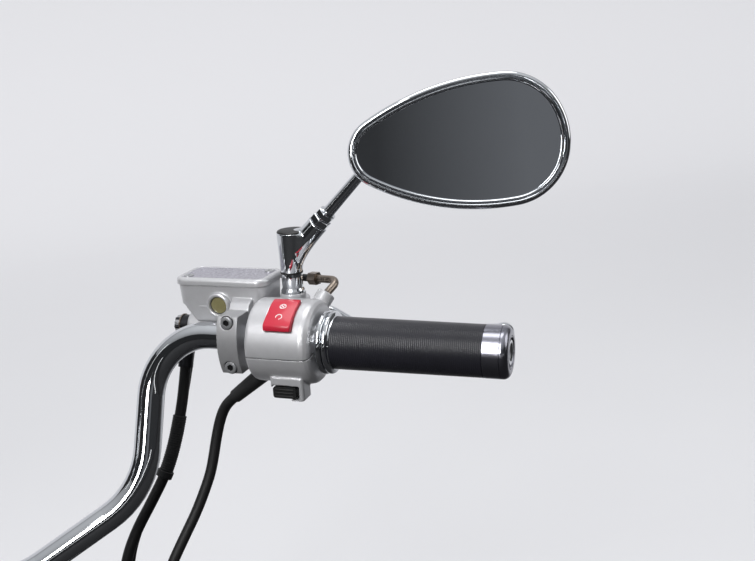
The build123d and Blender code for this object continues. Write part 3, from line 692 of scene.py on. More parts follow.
@dataclass
class Studio:
    """Camera, floor, backdrop, dark screens and world.

    Attributes:
        camera_at: Where the camera stands, in millimetres.
        yaw: How far it is turned to the right of straight ahead, in degrees.
        pitch: How far it looks down, in degrees.
        roll: How far it leans to the left, in degrees.
        lens_mm: Its focal length.
        sensor_mm: Its sensor's width.
        floor_mm: The floor's height.
        floor_reach: Half the floor's width and depth, in metres.
        floor_middle: Where the floor's middle is, forward, in metres.
        wall: The backdrop's height, in metres.
        sweep: How wide the bend from floor to backdrop is, in metres.
        pale: The floor's colour where it is pale.
        dark: The floor's colour where it acts as a dark cloth.
        near_glow: How bright the paper shows under the object.
        far_glow: How bright it shows far off.
        screen_radius: The dark screen's radius, in metres.
        screen_height: The dark screen's height, in metres.
    """

    camera_at: Point = (187.3, -705.9, 381.5)
    yaw: float = 15.567
    pitch: float = 14.161
    roll: float = -5.031
    lens_mm: float = 43.265
    sensor_mm: float = 36
    floor_mm: float = -262
    floor_reach: tuple[float, float] = (6, 5)
    floor_middle: float = -1
    wall: float = 4
    sweep: float = 1.2
    pale: str = "#B4B4B6"
    dark: str = "#161618"
    near_glow: float = 0.3
    far_glow: float = 0.6
    screen_radius: float = 2.4
    screen_height: float = 1.5

    def build(self) -> None:
        """Set the camera, the stage and the light."""
        self.camera()
        self.stage()
        self.screens()
        self.world()
        for lamp in LAMPS:
            lamp.hang()
        bpy.context.scene.view_settings.view_transform = "Standard"

    def camera(self) -> None:
        """Stand the camera where the photograph was taken."""
        yaw, pitch, roll = (math.radians(value) for value in (self.yaw, self.pitch, self.roll))
        ahead = Vector((math.sin(yaw) * math.cos(pitch), math.cos(yaw) * math.cos(pitch), -math.sin(pitch)))
        level = Vector((math.cos(yaw), -math.sin(yaw), 0))
        right = level * math.cos(roll) + level.cross(ahead) * math.sin(roll)
        data = bpy.data.cameras.new("camera")
        data.sensor_fit = "HORIZONTAL"
        data.sensor_width = self.sensor_mm
        data.lens = self.lens_mm
        data.clip_start = 0.01
        camera = bpy.data.objects.new("camera", data)
        bpy.context.scene.collection.objects.link(camera)
        turn = Matrix((right, right.cross(ahead), -ahead)).transposed().to_4x4()
        camera.matrix_world = Matrix.Translation(Vector(self.camera_at) * MM) @ turn
        bpy.context.scene.camera = camera

    def stage(self) -> None:
        """Lay a pale floor that sweeps up into the backdrop."""
        clear_selection()
        bpy.ops.mesh.primitive_plane_add(size=2)
        floor = named("floor")
        place(floor, Matrix.Translation((0, self.floor_middle, self.floor_mm * MM))
              @ Matrix.Diagonal((*self.floor_reach, 1, 1)))
        far_edge = self.floor_middle + self.floor_reach[1]
        with editing(floor) as mesh:
            for edge in mesh.edges:
                edge.select = all(vertex.co.y > far_edge - 0.1 for vertex in edge.verts)
            bmesh.update_edit_mesh(floor.data)
            bpy.ops.mesh.extrude_region_move(TRANSFORM_OT_translate={"value": (0, 0, self.wall)})
        bend = floor.modifiers.new("bend", "BEVEL")
        bend.width, bend.segments, bend.limit_method = self.sweep, 16, "ANGLE"
        smooth(floor)
        floor.data.materials.append(self.paper())

    def paper(self) -> bpy.types.Material:
        """Make the backdrop's paper.

        It is near white to the camera. Before the object it is dark to all else, as if a dark cloth lay
        there, which keeps the floor's light off the object's underside.

        Returns:
            The material.
        """
        paper = Finish("matt white backdrop paper", self.pale, "#B6B6B8", roughness=0.9,
                       roughness_spread=0.02, grain_mm=2, grain_height=0.01, mottle_mm=200).material()
        tree = paper.node_tree
        rays = add_node(tree, "ShaderNodeLightPath").outputs
        where = add_node(tree, "ShaderNodeTexCoord").outputs["Object"]
        forward = add_node(tree, "ShaderNodeSeparateXYZ", links={"Vector": where}).outputs["Y"]
        values = {"camera": rays["Is Camera Ray"], "glossy": rays["Is Glossy Ray"],
                  "through": rays["Is Transmission Ray"]}
        for name, start, end, low, high in (
                ("behind", 0.3, 4, self.near_glow, self.far_glow), ("before", -1.2, 0.3, -0.2, 0),
                ("away", -1.5, -5, 0, self.far_glow - 0.1), ("far", 0.15, 0.7, 0, 1)):
            ramp = add_node(tree, "ShaderNodeMapRange", {"From Min": start, "From Max": end, "To Min": low,
                                                         "To Max": high}, {"Value": forward})
            values[name] = ramp.outputs["Result"]
        for name, operation, first, second in (
                ("mirrored", "MAXIMUM", "camera", "glossy"), ("seen", "MAXIMUM", "mirrored", "through"),
                ("nearer", "ADD", "behind", "before"), ("glow", "ADD", "nearer", "away"),
                ("pale", "MAXIMUM", "camera", "far"), ("shown", "MULTIPLY", "seen", "glow"),
                ("strength", "MULTIPLY", "pale", "shown")):
            step = add_node(tree, "ShaderNodeMath", {"operation": operation},
                            {0: values[first], 1: values[second]})
            values[name] = step.outputs[0]
        shader = tree.nodes["Principled BSDF"]
        colour = add_node(tree, "ShaderNodeMix", {"data_type": "RGBA", 6: linear(self.dark)},
                          {0: values["pale"], 7: shader.inputs["Base Color"].links[0].from_socket})
        adjust(tree, shader, {"Emission Color": linear("#FBFBFF")},
               {"Emission Strength": values["strength"], "Base Color": colour.outputs[2]})
        return paper

    def screens(self) -> None:
        """Stand a dark half-round screen and a grey card before the object, seen only by polished metal: they
        glow faintly, as painted reflection, and cast no shade.
        """
        clear_selection()
        bpy.ops.mesh.primitive_cylinder_add(vertices=64, radius=self.screen_radius, depth=self.screen_height,
                                            end_fill_type="NOTHING")
        screen = place(named("dark_screen"), Matrix.Translation((0.3, -0.2, 0.5)))
        right_end, left_end = 0.1, 1.2
        delete_faces(screen, lambda face: face.calc_center_median().y > (
            right_end if face.calc_center_median().x > 0 else left_end))
        screen.data.flip_normals()
        clear_selection()
        bpy.ops.mesh.primitive_plane_add(size=1)
        upright = Matrix.Rotation(math.pi / 2, 4, "X")
        card = place(named("grey_card"), Matrix.Translation((-0.1, -2.15, 0.75)) @ upright)
        for piece, (left, right) in ((screen, (0.02, 0.03)), (card, (0.04, 0.17))):
            piece.data.materials.append(self.cloth(f"{piece.name}_cloth", left, right))
            piece.visible_camera = piece.visible_diffuse = piece.visible_shadow = False

    def cloth(self, name: str, left: float, right: float) -> bpy.types.Material:
        """Make a dark stage cloth that glows unevenly from left to right, a painted light that is no lamp.

        Args:
            name: The material's name.
            left: How bright it is where the mirror's left edge sees it.
            right: How bright it is where the mirror's right edge sees it.

        Returns:
            The material.
        """
        cloth = Finish(name, "#0B0B0C", "#101011", roughness=0.95, grain_mm=1, grain_height=0.1).material()
        tree = cloth.node_tree
        where = add_node(tree, "ShaderNodeTexCoord").outputs["Object"]
        across = add_node(tree, "ShaderNodeSeparateXYZ", links={"Vector": where}).outputs["X"]
        # Painted light: the glow rises from left to right so that the mirror shows a painted reflection
        light = add_node(tree, "ShaderNodeMapRange", {"From Min": -0.35, "From Max": 0.12, "To Min": left,
                                                      "To Max": right}, {"Value": across})
        adjust(tree, tree.nodes["Principled BSDF"], {"Emission Color": linear("#F4F8FF")},
               {"Emission Strength": light.outputs["Result"]})
        return cloth

    def world(self) -> None:
        """Light the world, brighter from above, and show it pale wherever the camera sees it."""
        world = bpy.data.worlds.new("studio")
        bpy.context.scene.world = world
        world.use_nodes = True
        tree = world.node_tree
        direction = add_node(tree, "ShaderNodeTexCoord").outputs["Generated"]
        height = add_node(tree, "ShaderNodeSeparateXYZ", links={"Vector": direction}).outputs["Z"]
        light = add_node(tree, "ShaderNodeMapRange", {"From Min": 0.25, "To Min": 0.14, "To Max": 1.2},
                         {"Value": height})
        rays = add_node(tree, "ShaderNodeLightPath")
        strength = add_node(tree, "ShaderNodeMath", {"operation": "MAXIMUM"},
                            {0: light.outputs["Result"], 1: rays.outputs["Is Camera Ray"]})
        adjust(tree, tree.nodes["Background"], {"Color": linear("#D8DADD")},
               {"Strength": strength.outputs[0]})


LEFT_NODES = {"master_cylinder_clamp": "clutch_perch_clamp", "brake_lever": "clutch_lever"}


def left_of(node: str) -> str:
    """Give the left-hand node that mirrors a right-hand one."""
    return LEFT_NODES.get(node, node.replace("right_", "left_"))


def rounded_loop(length: float, width: float, corner: float, above: float, steps: int = 7) -> list[Point]:
    """Give the points of a rounded rectangle about the z axis.

    Args:
        length: Its size along x.
        width: Its size along y.
        corner: The radius of its corners.
        above: Its height.
        steps: How many flats each corner has.

    Returns:
        The points, once round.
    """
    points = []
    for quarter, (x_sign, y_sign) in enumerate(((1, 1), (-1, 1), (-1, -1), (1, -1))):
        for step in range(steps + 1):
            x, y = polar(corner, math.radians(90 * (quarter + step / steps)))
            points.append((x_sign * (length / 2 - corner) + x, y_sign * (width / 2 - corner) + y, above))
    return points


def rounded_block(name: str, size: Point, edge: float, centre: Point = (0, 0, 0)) -> bpy.types.Object:
    """Make a block with rounded edges.

    Args:
        name: The piece's name.
        size: Its sizes along x, y and z.
        edge: The radius of its edges.
        centre: Where its middle is.

    Returns:
        The piece, in its own millimetres.
    """
    clear_selection()
    bpy.ops.mesh.primitive_cube_add(size=1)
    piece = place(named(name), Matrix.Translation(centre) @ Matrix.Diagonal((*size, 1)))
    apply_modifier(piece, "BEVEL", width=edge, segments=4)
    return smooth(piece, 50)


class Drive(Enum):
    """What a screw is turned with."""

    HEX = "hex"
    CROSS = "cross"

    def reach(self, angle: float, size: float) -> float:
        """Give how far the recess reaches from the middle of a head.

        Args:
            angle: The direction, in radians.
            size: The head's radius.

        Returns:
            The reach.
        """
        if self is Drive.HEX:
            flat = 0.5 * size
            return flat / math.cos((angle + math.pi / 6) % (math.pi / 3) - math.pi / 6)
        arm, crook, arm_turn = 0.62 * size, 0.2 * size, 0.15
        return arm if abs((angle + math.pi / 4) % (math.pi / 2) - math.pi / 4) < arm_turn else crook


@dataclass(frozen=True)
class Screw:
    """A screw's head, with its recess.

    Attributes:
        radius: The head's radius.
        height: The head's height above its seat.
        drive: The kind of recess.
        edge: The width of the rounded edge.
        depth: The recess's depth.
        segments: How many flats there are round the head.
    """

    radius: float
    height: float
    drive: Drive
    edge: float = 0.6
    depth: float = 2.2
    segments: int = 48

    def build(self, name: str) -> bpy.types.Object:
        """Make the head about the z axis, with its seat at the origin.

        Args:
            name: The head's name.

        Returns:
            The head, whose recess has the second material, a painted shade.
        """
        top, round_start, chamfer, lip = self.height, self.height - self.edge, 0.2, 0.25
        side = ((0, 0), (0, round_start), (0.3, top - 0.3 * self.edge), (1, top))
        recess = ((1, top), (0.94, top - chamfer), (0.9, top - self.depth))
        angles = [2 * math.pi * step / self.segments for step in range(self.segments)]
        rings = [[(*polar(self.radius - cut * self.edge, angle), above) for angle in angles]
                 for cut, above in side]
        rings += [[(*polar(share * self.drive.reach(angle, self.radius), angle), above) for angle in angles]
                  for share, above in recess]
        head = lofted(name, rings)
        # The recess's deep faces get the second material, which paints the shade inside them
        for face in head.data.polygons:
            inside = math.hypot(face.center.x, face.center.y) < 0.66 * self.radius
            face.material_index = int(inside and face.center.z < top - lip)
        return smooth(head, 30)


@dataclass
class Assembly:
    """A sub-assembly: what its pieces are finished with, and how they are carried.

    Attributes:
        finishes: The materials, by slot or finish.
    """

    finishes: dict[str, bpy.types.Material]

    def dress(self, piece: bpy.types.Object, node: str, slot: str = "",
              replaces: bool = False) -> bpy.types.Object:
        """Finish a piece and let it ride where a CAD node rides.

        Args:
            piece: The piece.
            node: The CAD node that carries it, or that it replaces.
            slot: The material slot, or nothing for the node's own.
            replaces: Whether the piece stands for the node.

        Returns:
            The piece.
        """
        name = slot or SLOTS[node]
        # Clearing also moves every face to the first material, so a new piece keeps its faces' choice
        if piece.data.materials:
            piece.data.materials.clear()
        piece.data.materials.append(self.finishes[name if slot else VARIANTS.get(node, name)])
        # Faces marked 1 are screw recesses, which get the painted shade
        if any(face.material_index for face in piece.data.polygons):
            piece.data.materials.append(self.finishes["oxide"])
        if replaces:
            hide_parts(node)
        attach(piece, body_of(node))
        LOG.info("%s on %s", piece.name, node)
        return piece

    def pair(self, piece: bpy.types.Object, node: str, slot: str = "", replaces: bool = False) -> None:
        """Dress a right-hand piece, and its mirror image on the left-hand end.

        Args:
            piece: The right-hand piece, in its place.
            node: The right-hand CAD node that carries it.
            slot: The material slot, or nothing for the node's own.
            replaces: Whether the pieces stand for their nodes.
        """
        other = twin(piece, f"left_{piece.name.removeprefix('right_')}")
        self.dress(piece, node, slot, replaces)
        self.dress(other, left_of(node), slot, replaces)

    def refinish(self, piece: bpy.types.Object, finish: str) -> None:
        """Give a dressed piece another finish than its slot's."""
        piece.data.materials[0] = self.finishes[finish]


@dataclass
class MasterCylinder(Assembly):
    """The brake's master cylinder with its reservoir, lid, sight glass and banjo bolt.

    Attributes:
        lid_length: The lid's length along the grip.
        lid_width: Its width across.
        lid_corner: The radius of its corners.
        lid_foot: The height of its lower edge.
        lid_thickness: How thick it is.
        lid_along: Its middle, along the grip.
        lid_forward: Its middle, across the grip.
        shoulder: The radius of its round upper edge.
        border: The width of the flat border.
        panel_sink: How far the panel lies below the border.
        screw_inset: How far in from the lid's sides its screws stand.
        sight_at: The middle of the sight glass.
        mark_size: The size of the level mark.
        mark_shift: Where the mark lies from the glass.
        banjo_at: The seat of the banjo bolt's washer.
        lid_screw: The lid's screw.
    """

    lid_length: float = 81.6
    lid_width: float = 42.7
    lid_corner: float = 9
    lid_foot: float = 39.3
    lid_thickness: float = 6
    lid_along: float = 58.2
    lid_forward: float = 28.5
    shoulder: float = 3.2
    border: float = 0.4
    panel_sink: float = 0.55
    screw_inset: float = 9.8
    sight_at: Point = (57.1, 6.6, 23.2)
    mark_size: Point = (7, 0.9, 1)
    mark_shift: Point = (-15.5, 3.3, -2)
    banjo_at: Point = (9.7, 31, -2.5)
    lid_screw: Screw = Screw(4.1, 0.7, Drive.CROSS, edge=0.3, depth=0.65)

    def build(self) -> None:
        """Build the sub-assembly."""
        self.dress(cast("master_cylinder", grain=0.7, rounds=5), "master_cylinder")
        self.lid()
        self.sight()
        self.banjo_bolt()

    def lid(self) -> None:
        """Build the lid: a skirt, a round shoulder, a low border and a pebbled panel that two screws hold."""
        foot, top = self.lid_foot, self.lid_foot + self.lid_thickness
        turn = [math.radians(15 * step) for step in range(7)]
        steps = [(0.5, foot), (0, foot + 0.4)]
        steps += [(self.shoulder * (1 - math.cos(angle)), top - self.shoulder * (1 - math.sin(angle)))
                  for angle in turn]
        rim = self.shoulder + self.border
        steps += [(rim, top), (rim + 0.35, top - 0.1), (rim + 0.6, top - 0.45),
                  (rim + 1, top - self.panel_sink)]
        smallest_corner = 2.5
        rings = [rounded_loop(self.lid_length - 2 * inset, self.lid_width - 2 * inset,
                              max(self.lid_corner - inset, smallest_corner), above) for inset, above in steps]
        lid = smooth(lofted("reservoir_lid_casting", rings), 40)
        self.dress(place(lid, BAR.frame(self.lid_along, self.lid_forward)), "reservoir_lid", replaces=True)
        lid.data.materials.append(self.finishes["pebbled_alloy"])
        panel = max(lid.data.polygons, key=lambda face: face.area * (face.normal.z > 0.9))
        panel.material_index = 1
        reach_x = self.lid_length / 2 - self.screw_inset
        reach_y = self.lid_width / 2 - self.screw_inset
        for name, sign in (("outer", 1), ("inner", -1)):
            seat = BAR.frame(self.lid_along + sign * reach_x, self.lid_forward + sign * reach_y, top - 0.6)
            screw = place(self.lid_screw.build(f"lid_screw_{name}"), seat)
            self.dress(screw, "reservoir_lid", "bolt_steel")

    def sight(self) -> None:
        """Build the ring round the sight glass, the black rubber ring at the glass's edge, partly real and
        partly painted shade, the domed glass and the level mark beside it.
        """
        seat = facing(BAR.at(*self.sight_at), -BAR.forward, BAR.out)
        ring = turned("sight_ring", [(-1.5, 7.2), (0.3, 7.5), (0.9, 7.8), (1.15, 8.4), (1.15, 9), (0.9, 9.7),
                                     (0.4, 10.1), (-0.3, 10.3), (-1.5, 10.4)], closed=True)
        self.refinish(self.dress(place(ring, seat), "master_cylinder", "bolt_steel"), "satin_alloy")
        # The black rubber ring is partly a real part and partly painted shade at the glass's edge
        shade_gasket = turned("sight_gasket", [(-1.6, 6.7), (-0.9, 6.8), (-0.8, 7.1), (-1.6, 7.3)], closed=True)
        self.dress(place(shade_gasket, seat), "master_cylinder", "black_rubber")
        dome = turned("sight_dome", [(-1.6, 7), (-1.2, 6.7), (-0.95, 5.4), (-0.75, 3.3), (-0.7, 0.01)])
        self.dress(place(dome, seat), "sight_glass", replaces=True)
        beside = [middle + shift for middle, shift in zip(self.sight_at, self.mark_shift)]
        mark = place(rounded_block("level_mark", self.mark_size, 0.3),
                     facing(BAR.at(*beside), -BAR.forward, BAR.out))
        self.dress(mark, "master_cylinder")

    def banjo_bolt(self) -> None:
        """Build the domed hexagon head of the banjo bolt and the washer under it."""
        seat = facing(BAR.at(*self.banjo_at), -BAR.out, BAR.up)
        head = turned("banjo_bolt_head", [
            (0, 7.6), (0.6, 8.2), (5.2, 8.2), (6, 7.6), (6.6, 5.4), (6.9, 0.01)], segments=6)
        apply_modifier(head, "BEVEL", width=0.5, segments=3, limit_method="ANGLE")
        self.dress(place(smooth(head, 25), seat), "brake_hose_banjo", "bolt_steel")
        washer = turned("banjo_washer", [(-0.2, 5), (-0.2, 9.3), (0.9, 9.3), (0.9, 5)], closed=True)
        self.dress(place(washer, seat), "brake_hose_banjo", "plated_steel")


@dataclass
class BarClamps(Assembly):
    """The two levers, their perches' bar clamps with socket screws, and their pivot bolts.

    Attributes:
        along: Where the clamp's screws stand, along the grip.
        bolt_above: How far above and below the tube they stand.
        bolt_forward: Where their seats lie, across the grip.
        well_radius: The radius of the black ring round each screw, painted shade for its counterbore.
        pivot: The top of the lever's pivot.
        bolt: The clamp's screw.
        pivot_bolt: The pivot bolt's head.
    """

    along: float = 78.25
    bolt_above: float = 18.3
    bolt_forward: float = -19.9
    well_radius: float = 5.6
    pivot: Point = (106, 54, 20)
    bolt: Screw = Screw(4.95, 2, Drive.HEX, depth=1.45)
    pivot_bolt: Screw = Screw(6.9, 4.9, Drive.HEX, edge=1, depth=0.7)

    def build(self) -> None:
        """Build the clamps with two socket screws each, the pivot bolts, the clutch perch and the levers."""
        clamp = cast("master_cylinder_clamp", grain=0.32, rounds=4, faces=60000)
        # The clamps take the darker alloy variant, a painted shade
        self.dress(clamp, "master_cylinder_clamp")
        self.dress(twin(clamp, "clutch_perch_clamp_casting"), "clutch_perch_clamp", replaces=True)
        for name, sign in (("upper", 1), ("lower", -1)):
            middle = BAR.at(self.along, self.bolt_forward, sign * self.bolt_above)
            seat = facing(middle, -BAR.forward, BAR.out)
            bolt = place(self.bolt.build(f"right_clamp_screw_{name}"), seat)
            self.pair(bolt, "master_cylinder_clamp", "bolt_steel")
            # Painted shade: a black ring round each screw stands in for the shade of its counterbore
            shade_well = turned(f"right_clamp_well_{name}", [
                (0.1, 4.6), (0.3, self.well_radius), (0.1, self.well_radius)], closed=True)
            self.pair(place(shade_well, seat), "master_cylinder_clamp", "black_rubber")
        head = self.pivot_bolt.build("right_pivot_bolt_head")
        self.pair(place(head, BAR.frame(*self.pivot)), "lever_pivot_bolts")
        self.dress(cast("clutch_perch", grain=0.7, rounds=5), "clutch_perch")
        lever = cast("brake_lever", grain=0.7, rounds=14, faces=50000)
        self.dress(lever, "brake_lever")
        self.dress(twin(lever, "clutch_lever_casting"), "clutch_lever", replaces=True)


class Symbol(Enum):
    """The rocker's flat symbols, each with its angle round the bar from forward, in degrees."""

    RUN = 131.5
    STOP = 115

    def build(self) -> list[bpy.types.Object]:
        """Build the symbol: an open ring to run, or a ring with a cross in it to stop.

        Returns:
            Its pieces, in millimetres and flat at the origin.
        """
        angles = [math.radians(10 * step) for step in range(36)]
        ring = lofted(f"symbol_{self.name.lower()}", [[(*polar(radius, angle), 0) for angle in angles]
                                                      for radius in (2.1, 2.75)], caps=False)
        if self is Symbol.RUN:
            gap_towards, gap_start = Vector((-0.5, -0.87, 0)), 1.95
            delete_faces(ring, lambda face: face.calc_center_median().dot(gap_towards) > gap_start)
            return [ring]
        pieces, bar_size = [ring], Matrix.Diagonal((4.6, 0.6, 1, 1))
        for turn in (45, 135):
            clear_selection()
            bpy.ops.mesh.primitive_grid_add(x_subdivisions=8, y_subdivisions=1, size=1)
            bar = named(f"symbol_bar_{turn}")
            pieces.append(place(bar, Matrix.Rotation(math.radians(turn), 4, "Z") @ bar_size))
        return pieces


@dataclass
class SwitchHousings(Assembly):
    """The two die-cast switch housings with their switches.

    Attributes:
        start: Where the housing starts, along the grip.
        length: Its length.
        radius: Its radius.
        proud: How far the switches stand out of it.
        parting_tilt: The tilt of the line between the shells, in degrees.
        screw: The screw from below.
        screw_inset: How far in from the housing's ends the screws stand.
        screw_angle: Their angle round the bar, in degrees from forward.
        rocker_start: Where the stop rocker starts, along the grip.
        rocker_length: Its length.
        rocker_line: Its outer surface round the bar: angles from forward and radii.
        starter_at: The middle of the starter's pad.
        starter_ridge: The size of a finger ridge on it.
        starter_pitch: From one finger ridge to the next.
        slides: The left housing's slides: node, middle past the housing's start, and angle from forward.
        slide_ridge: The size of a thumb ridge on them.
        slide_pitch: From one thumb ridge to the next.
    """

    start: float = 97
    length: float = 51.5
    radius: float = 33
    proud: float = 6
    parting_tilt: float = 8.6
    screw: Screw = Screw(3.6, 1.4, Drive.CROSS, edge=0.5, depth=1.2)
    screw_inset: float = 8
    screw_angle: float = 292
    rocker_start: float = 113.7
    rocker_length: float = 22
    rocker_line: Profile = ((98, 33.5), (98, 34.9), (98.6, 35.3), (100.5, 35.6), (108, 35.4), (117, 35.1),
                            (126, 35.3), (135, 36.1), (141, 36.9), (144.8, 37.4), (146, 37.5), (146.9, 37.2),
                            (150.4, 36.4), (151.1, 35.9), (150.4, 33.5))
    starter_at: Point = (125.6, -26.9, -33.7)
    starter_ridge: Point = (15.5, 1.2, 1.4)
    starter_pitch: float = 2.7
    slides: tuple[tuple[str, float, float], ...] = (("dimmer_switch", 15.18, 114.5),
                                                    ("turn_signal_switch", 32.145, 162))
    slide_ridge: Point = (0.9, 6, 1)
    slide_pitch: float = 2.6

    def build(self) -> None:
        """Build the shells, the rocker, the switches' ridges, the black strip of painted shade where the
        shells meet and the screws from below.
        """
        for node in ("right_switch_upper", "right_switch_lower", "left_switch_upper", "left_switch_lower"):
            self.dress(cast(node, grain=0.6, rounds=4, faces=70000), node)
        self.rocker()
        self.starter()
        self.thumb_ridges()
        # Painted shade: a black strip between the shells darkens the groove where they meet
        self.pair(self.parting_shade(), "right_switch_lower", "black_rubber")
        for name, along in (("inner", self.screw_inset), ("outer", self.length - self.screw_inset)):
            seat = self.on_shell(self.start + along, self.screw_angle, -0.8)
            screw = place(self.screw.build(f"right_housing_screw_{name}"), seat)
            self.pair(screw, "right_switch_lower", "bolt_steel")

    def on_shell(self, along: float, angle: float, proud: float = 0) -> Matrix:
        """Give the frame of a spot on the housing: z outward, x along the bar, degrees from forward."""
        outward = BAR.forward * math.cos(math.radians(angle)) + BAR.up * math.sin(math.radians(angle))
        return facing(BAR.at(along) + outward * (self.radius + proud), outward, BAR.out)

    def parting_shade(self) -> bpy.types.Object:
        """Cut the thin black strip between the shells, painted shade for the groove where they meet, out of a
        turned hollow that lies just under their surface.

        Returns:
            The right-hand strip of painted shade.
        """
        end, outer, bore, half_thickness = self.length, self.radius - 0.12, 14, 0.28
        shade_gasket = turned("right_housing_gasket", [
            (0.12, bore), (0.12, outer - 2.5), (0.8, outer - 0.8), (2.5, outer), (end - 6, outer),
            (end - 3, outer - 0.8), (end - 0.9, outer - 3), (end - 0.12, outer - 6), (end - 0.12, bore),
            (end - 2.5, bore), (end - 2.5, 29), (2.5, 29), (2.5, bore)], 64, closed=True)
        place(shade_gasket, BAR.turned_frame(self.start))
        tilt = math.radians(self.parting_tilt)
        square = BAR.up * math.cos(tilt) - BAR.forward * math.sin(tilt)
        for sign in (1, -1):
            with editing(shade_gasket):
                bpy.ops.mesh.select_all(action="SELECT")
                bpy.ops.mesh.bisect(plane_co=(BAR.at(0) + square * sign * half_thickness) * MM,
                                    plane_no=square * sign, use_fill=True, clear_outer=True)
        return shade_gasket

    def rocker(self) -> None:
        """Build the red stop rocker, a hollowed plate with an upright front face, and its two symbols."""
        section, length = self.rocker_section(), self.rocker_length
        middle = [sum(point[axis] for point in section) / len(section) for axis in (0, 1)]
        rings = []
        for along, inset in ((0, 1), (0.25, 0.4), (0.8, 0),
                             (length - 0.8, 0), (length - 0.25, 0.4), (length, 1)):
            ring = []
            for forward, above in section:
                away = Vector((forward - middle[0], above - middle[1])).normalized() * inset
                ring.append((self.rocker_start + along, forward - away.x, above - away.y))
            rings.append(ring)
        plate = smooth(lofted("kill_switch_rocker", rings), 40)
        self.dress(place(plate, BAR.frame()), "kill_switch", replaces=True)
        for symbol in Symbol:
            seat = self.on_shell(self.rocker_start + length / 2, symbol.value, self.proud)
            for mark in symbol.build():
                place(mark, seat)
                apply_modifier(mark, "SHRINKWRAP", target=plate, wrap_method="NEAREST_SURFACEPOINT",
                               wrap_mode="ABOVE_SURFACE", offset=0.08 * MM)
                self.refinish(self.dress(mark, "kill_switch", "red_plastic"), "ink")

    def rocker_section(self) -> list[tuple[float, float]]:
        """Give the rocker's section across the bar: (forward, above) points, once round."""
        inner = [(angle, self.radius - 1.3) for angle in range(150, 97, -6)]
        return [polar(radius, math.radians(angle)) for angle, radius in (*self.rocker_line, *inner)]

    def thumb_ridges(self) -> None:
        """Set three thumb ridges across each of the left housing's two slides."""
        mirrored = Matrix.Scale(-1, 4, (1, 0, 0))
        for node, middle, angle in self.slides:
            for number, step in enumerate((-1, 0, 1)):
                ridge = rounded_block(f"{node}_ridge_{number}", self.slide_ridge, 0.35)
                along = self.start + middle + step * self.slide_pitch
                self.dress(place(ridge, mirrored @ self.on_shell(along, angle, self.proud)), node)

    def starter(self) -> None:
        """Set three finger ridges on the starter's black pad."""
        seat = facing(BAR.at(*self.starter_at), -BAR.forward, BAR.out)
        for level, step in enumerate((-1, 0, 1)):
            middle = (0, step * self.starter_pitch, 0.3)
            ridge = rounded_block(f"starter_ridge_{level}", self.starter_ridge, 0.5, middle)
            self.dress(place(ridge, seat), "starter_button")


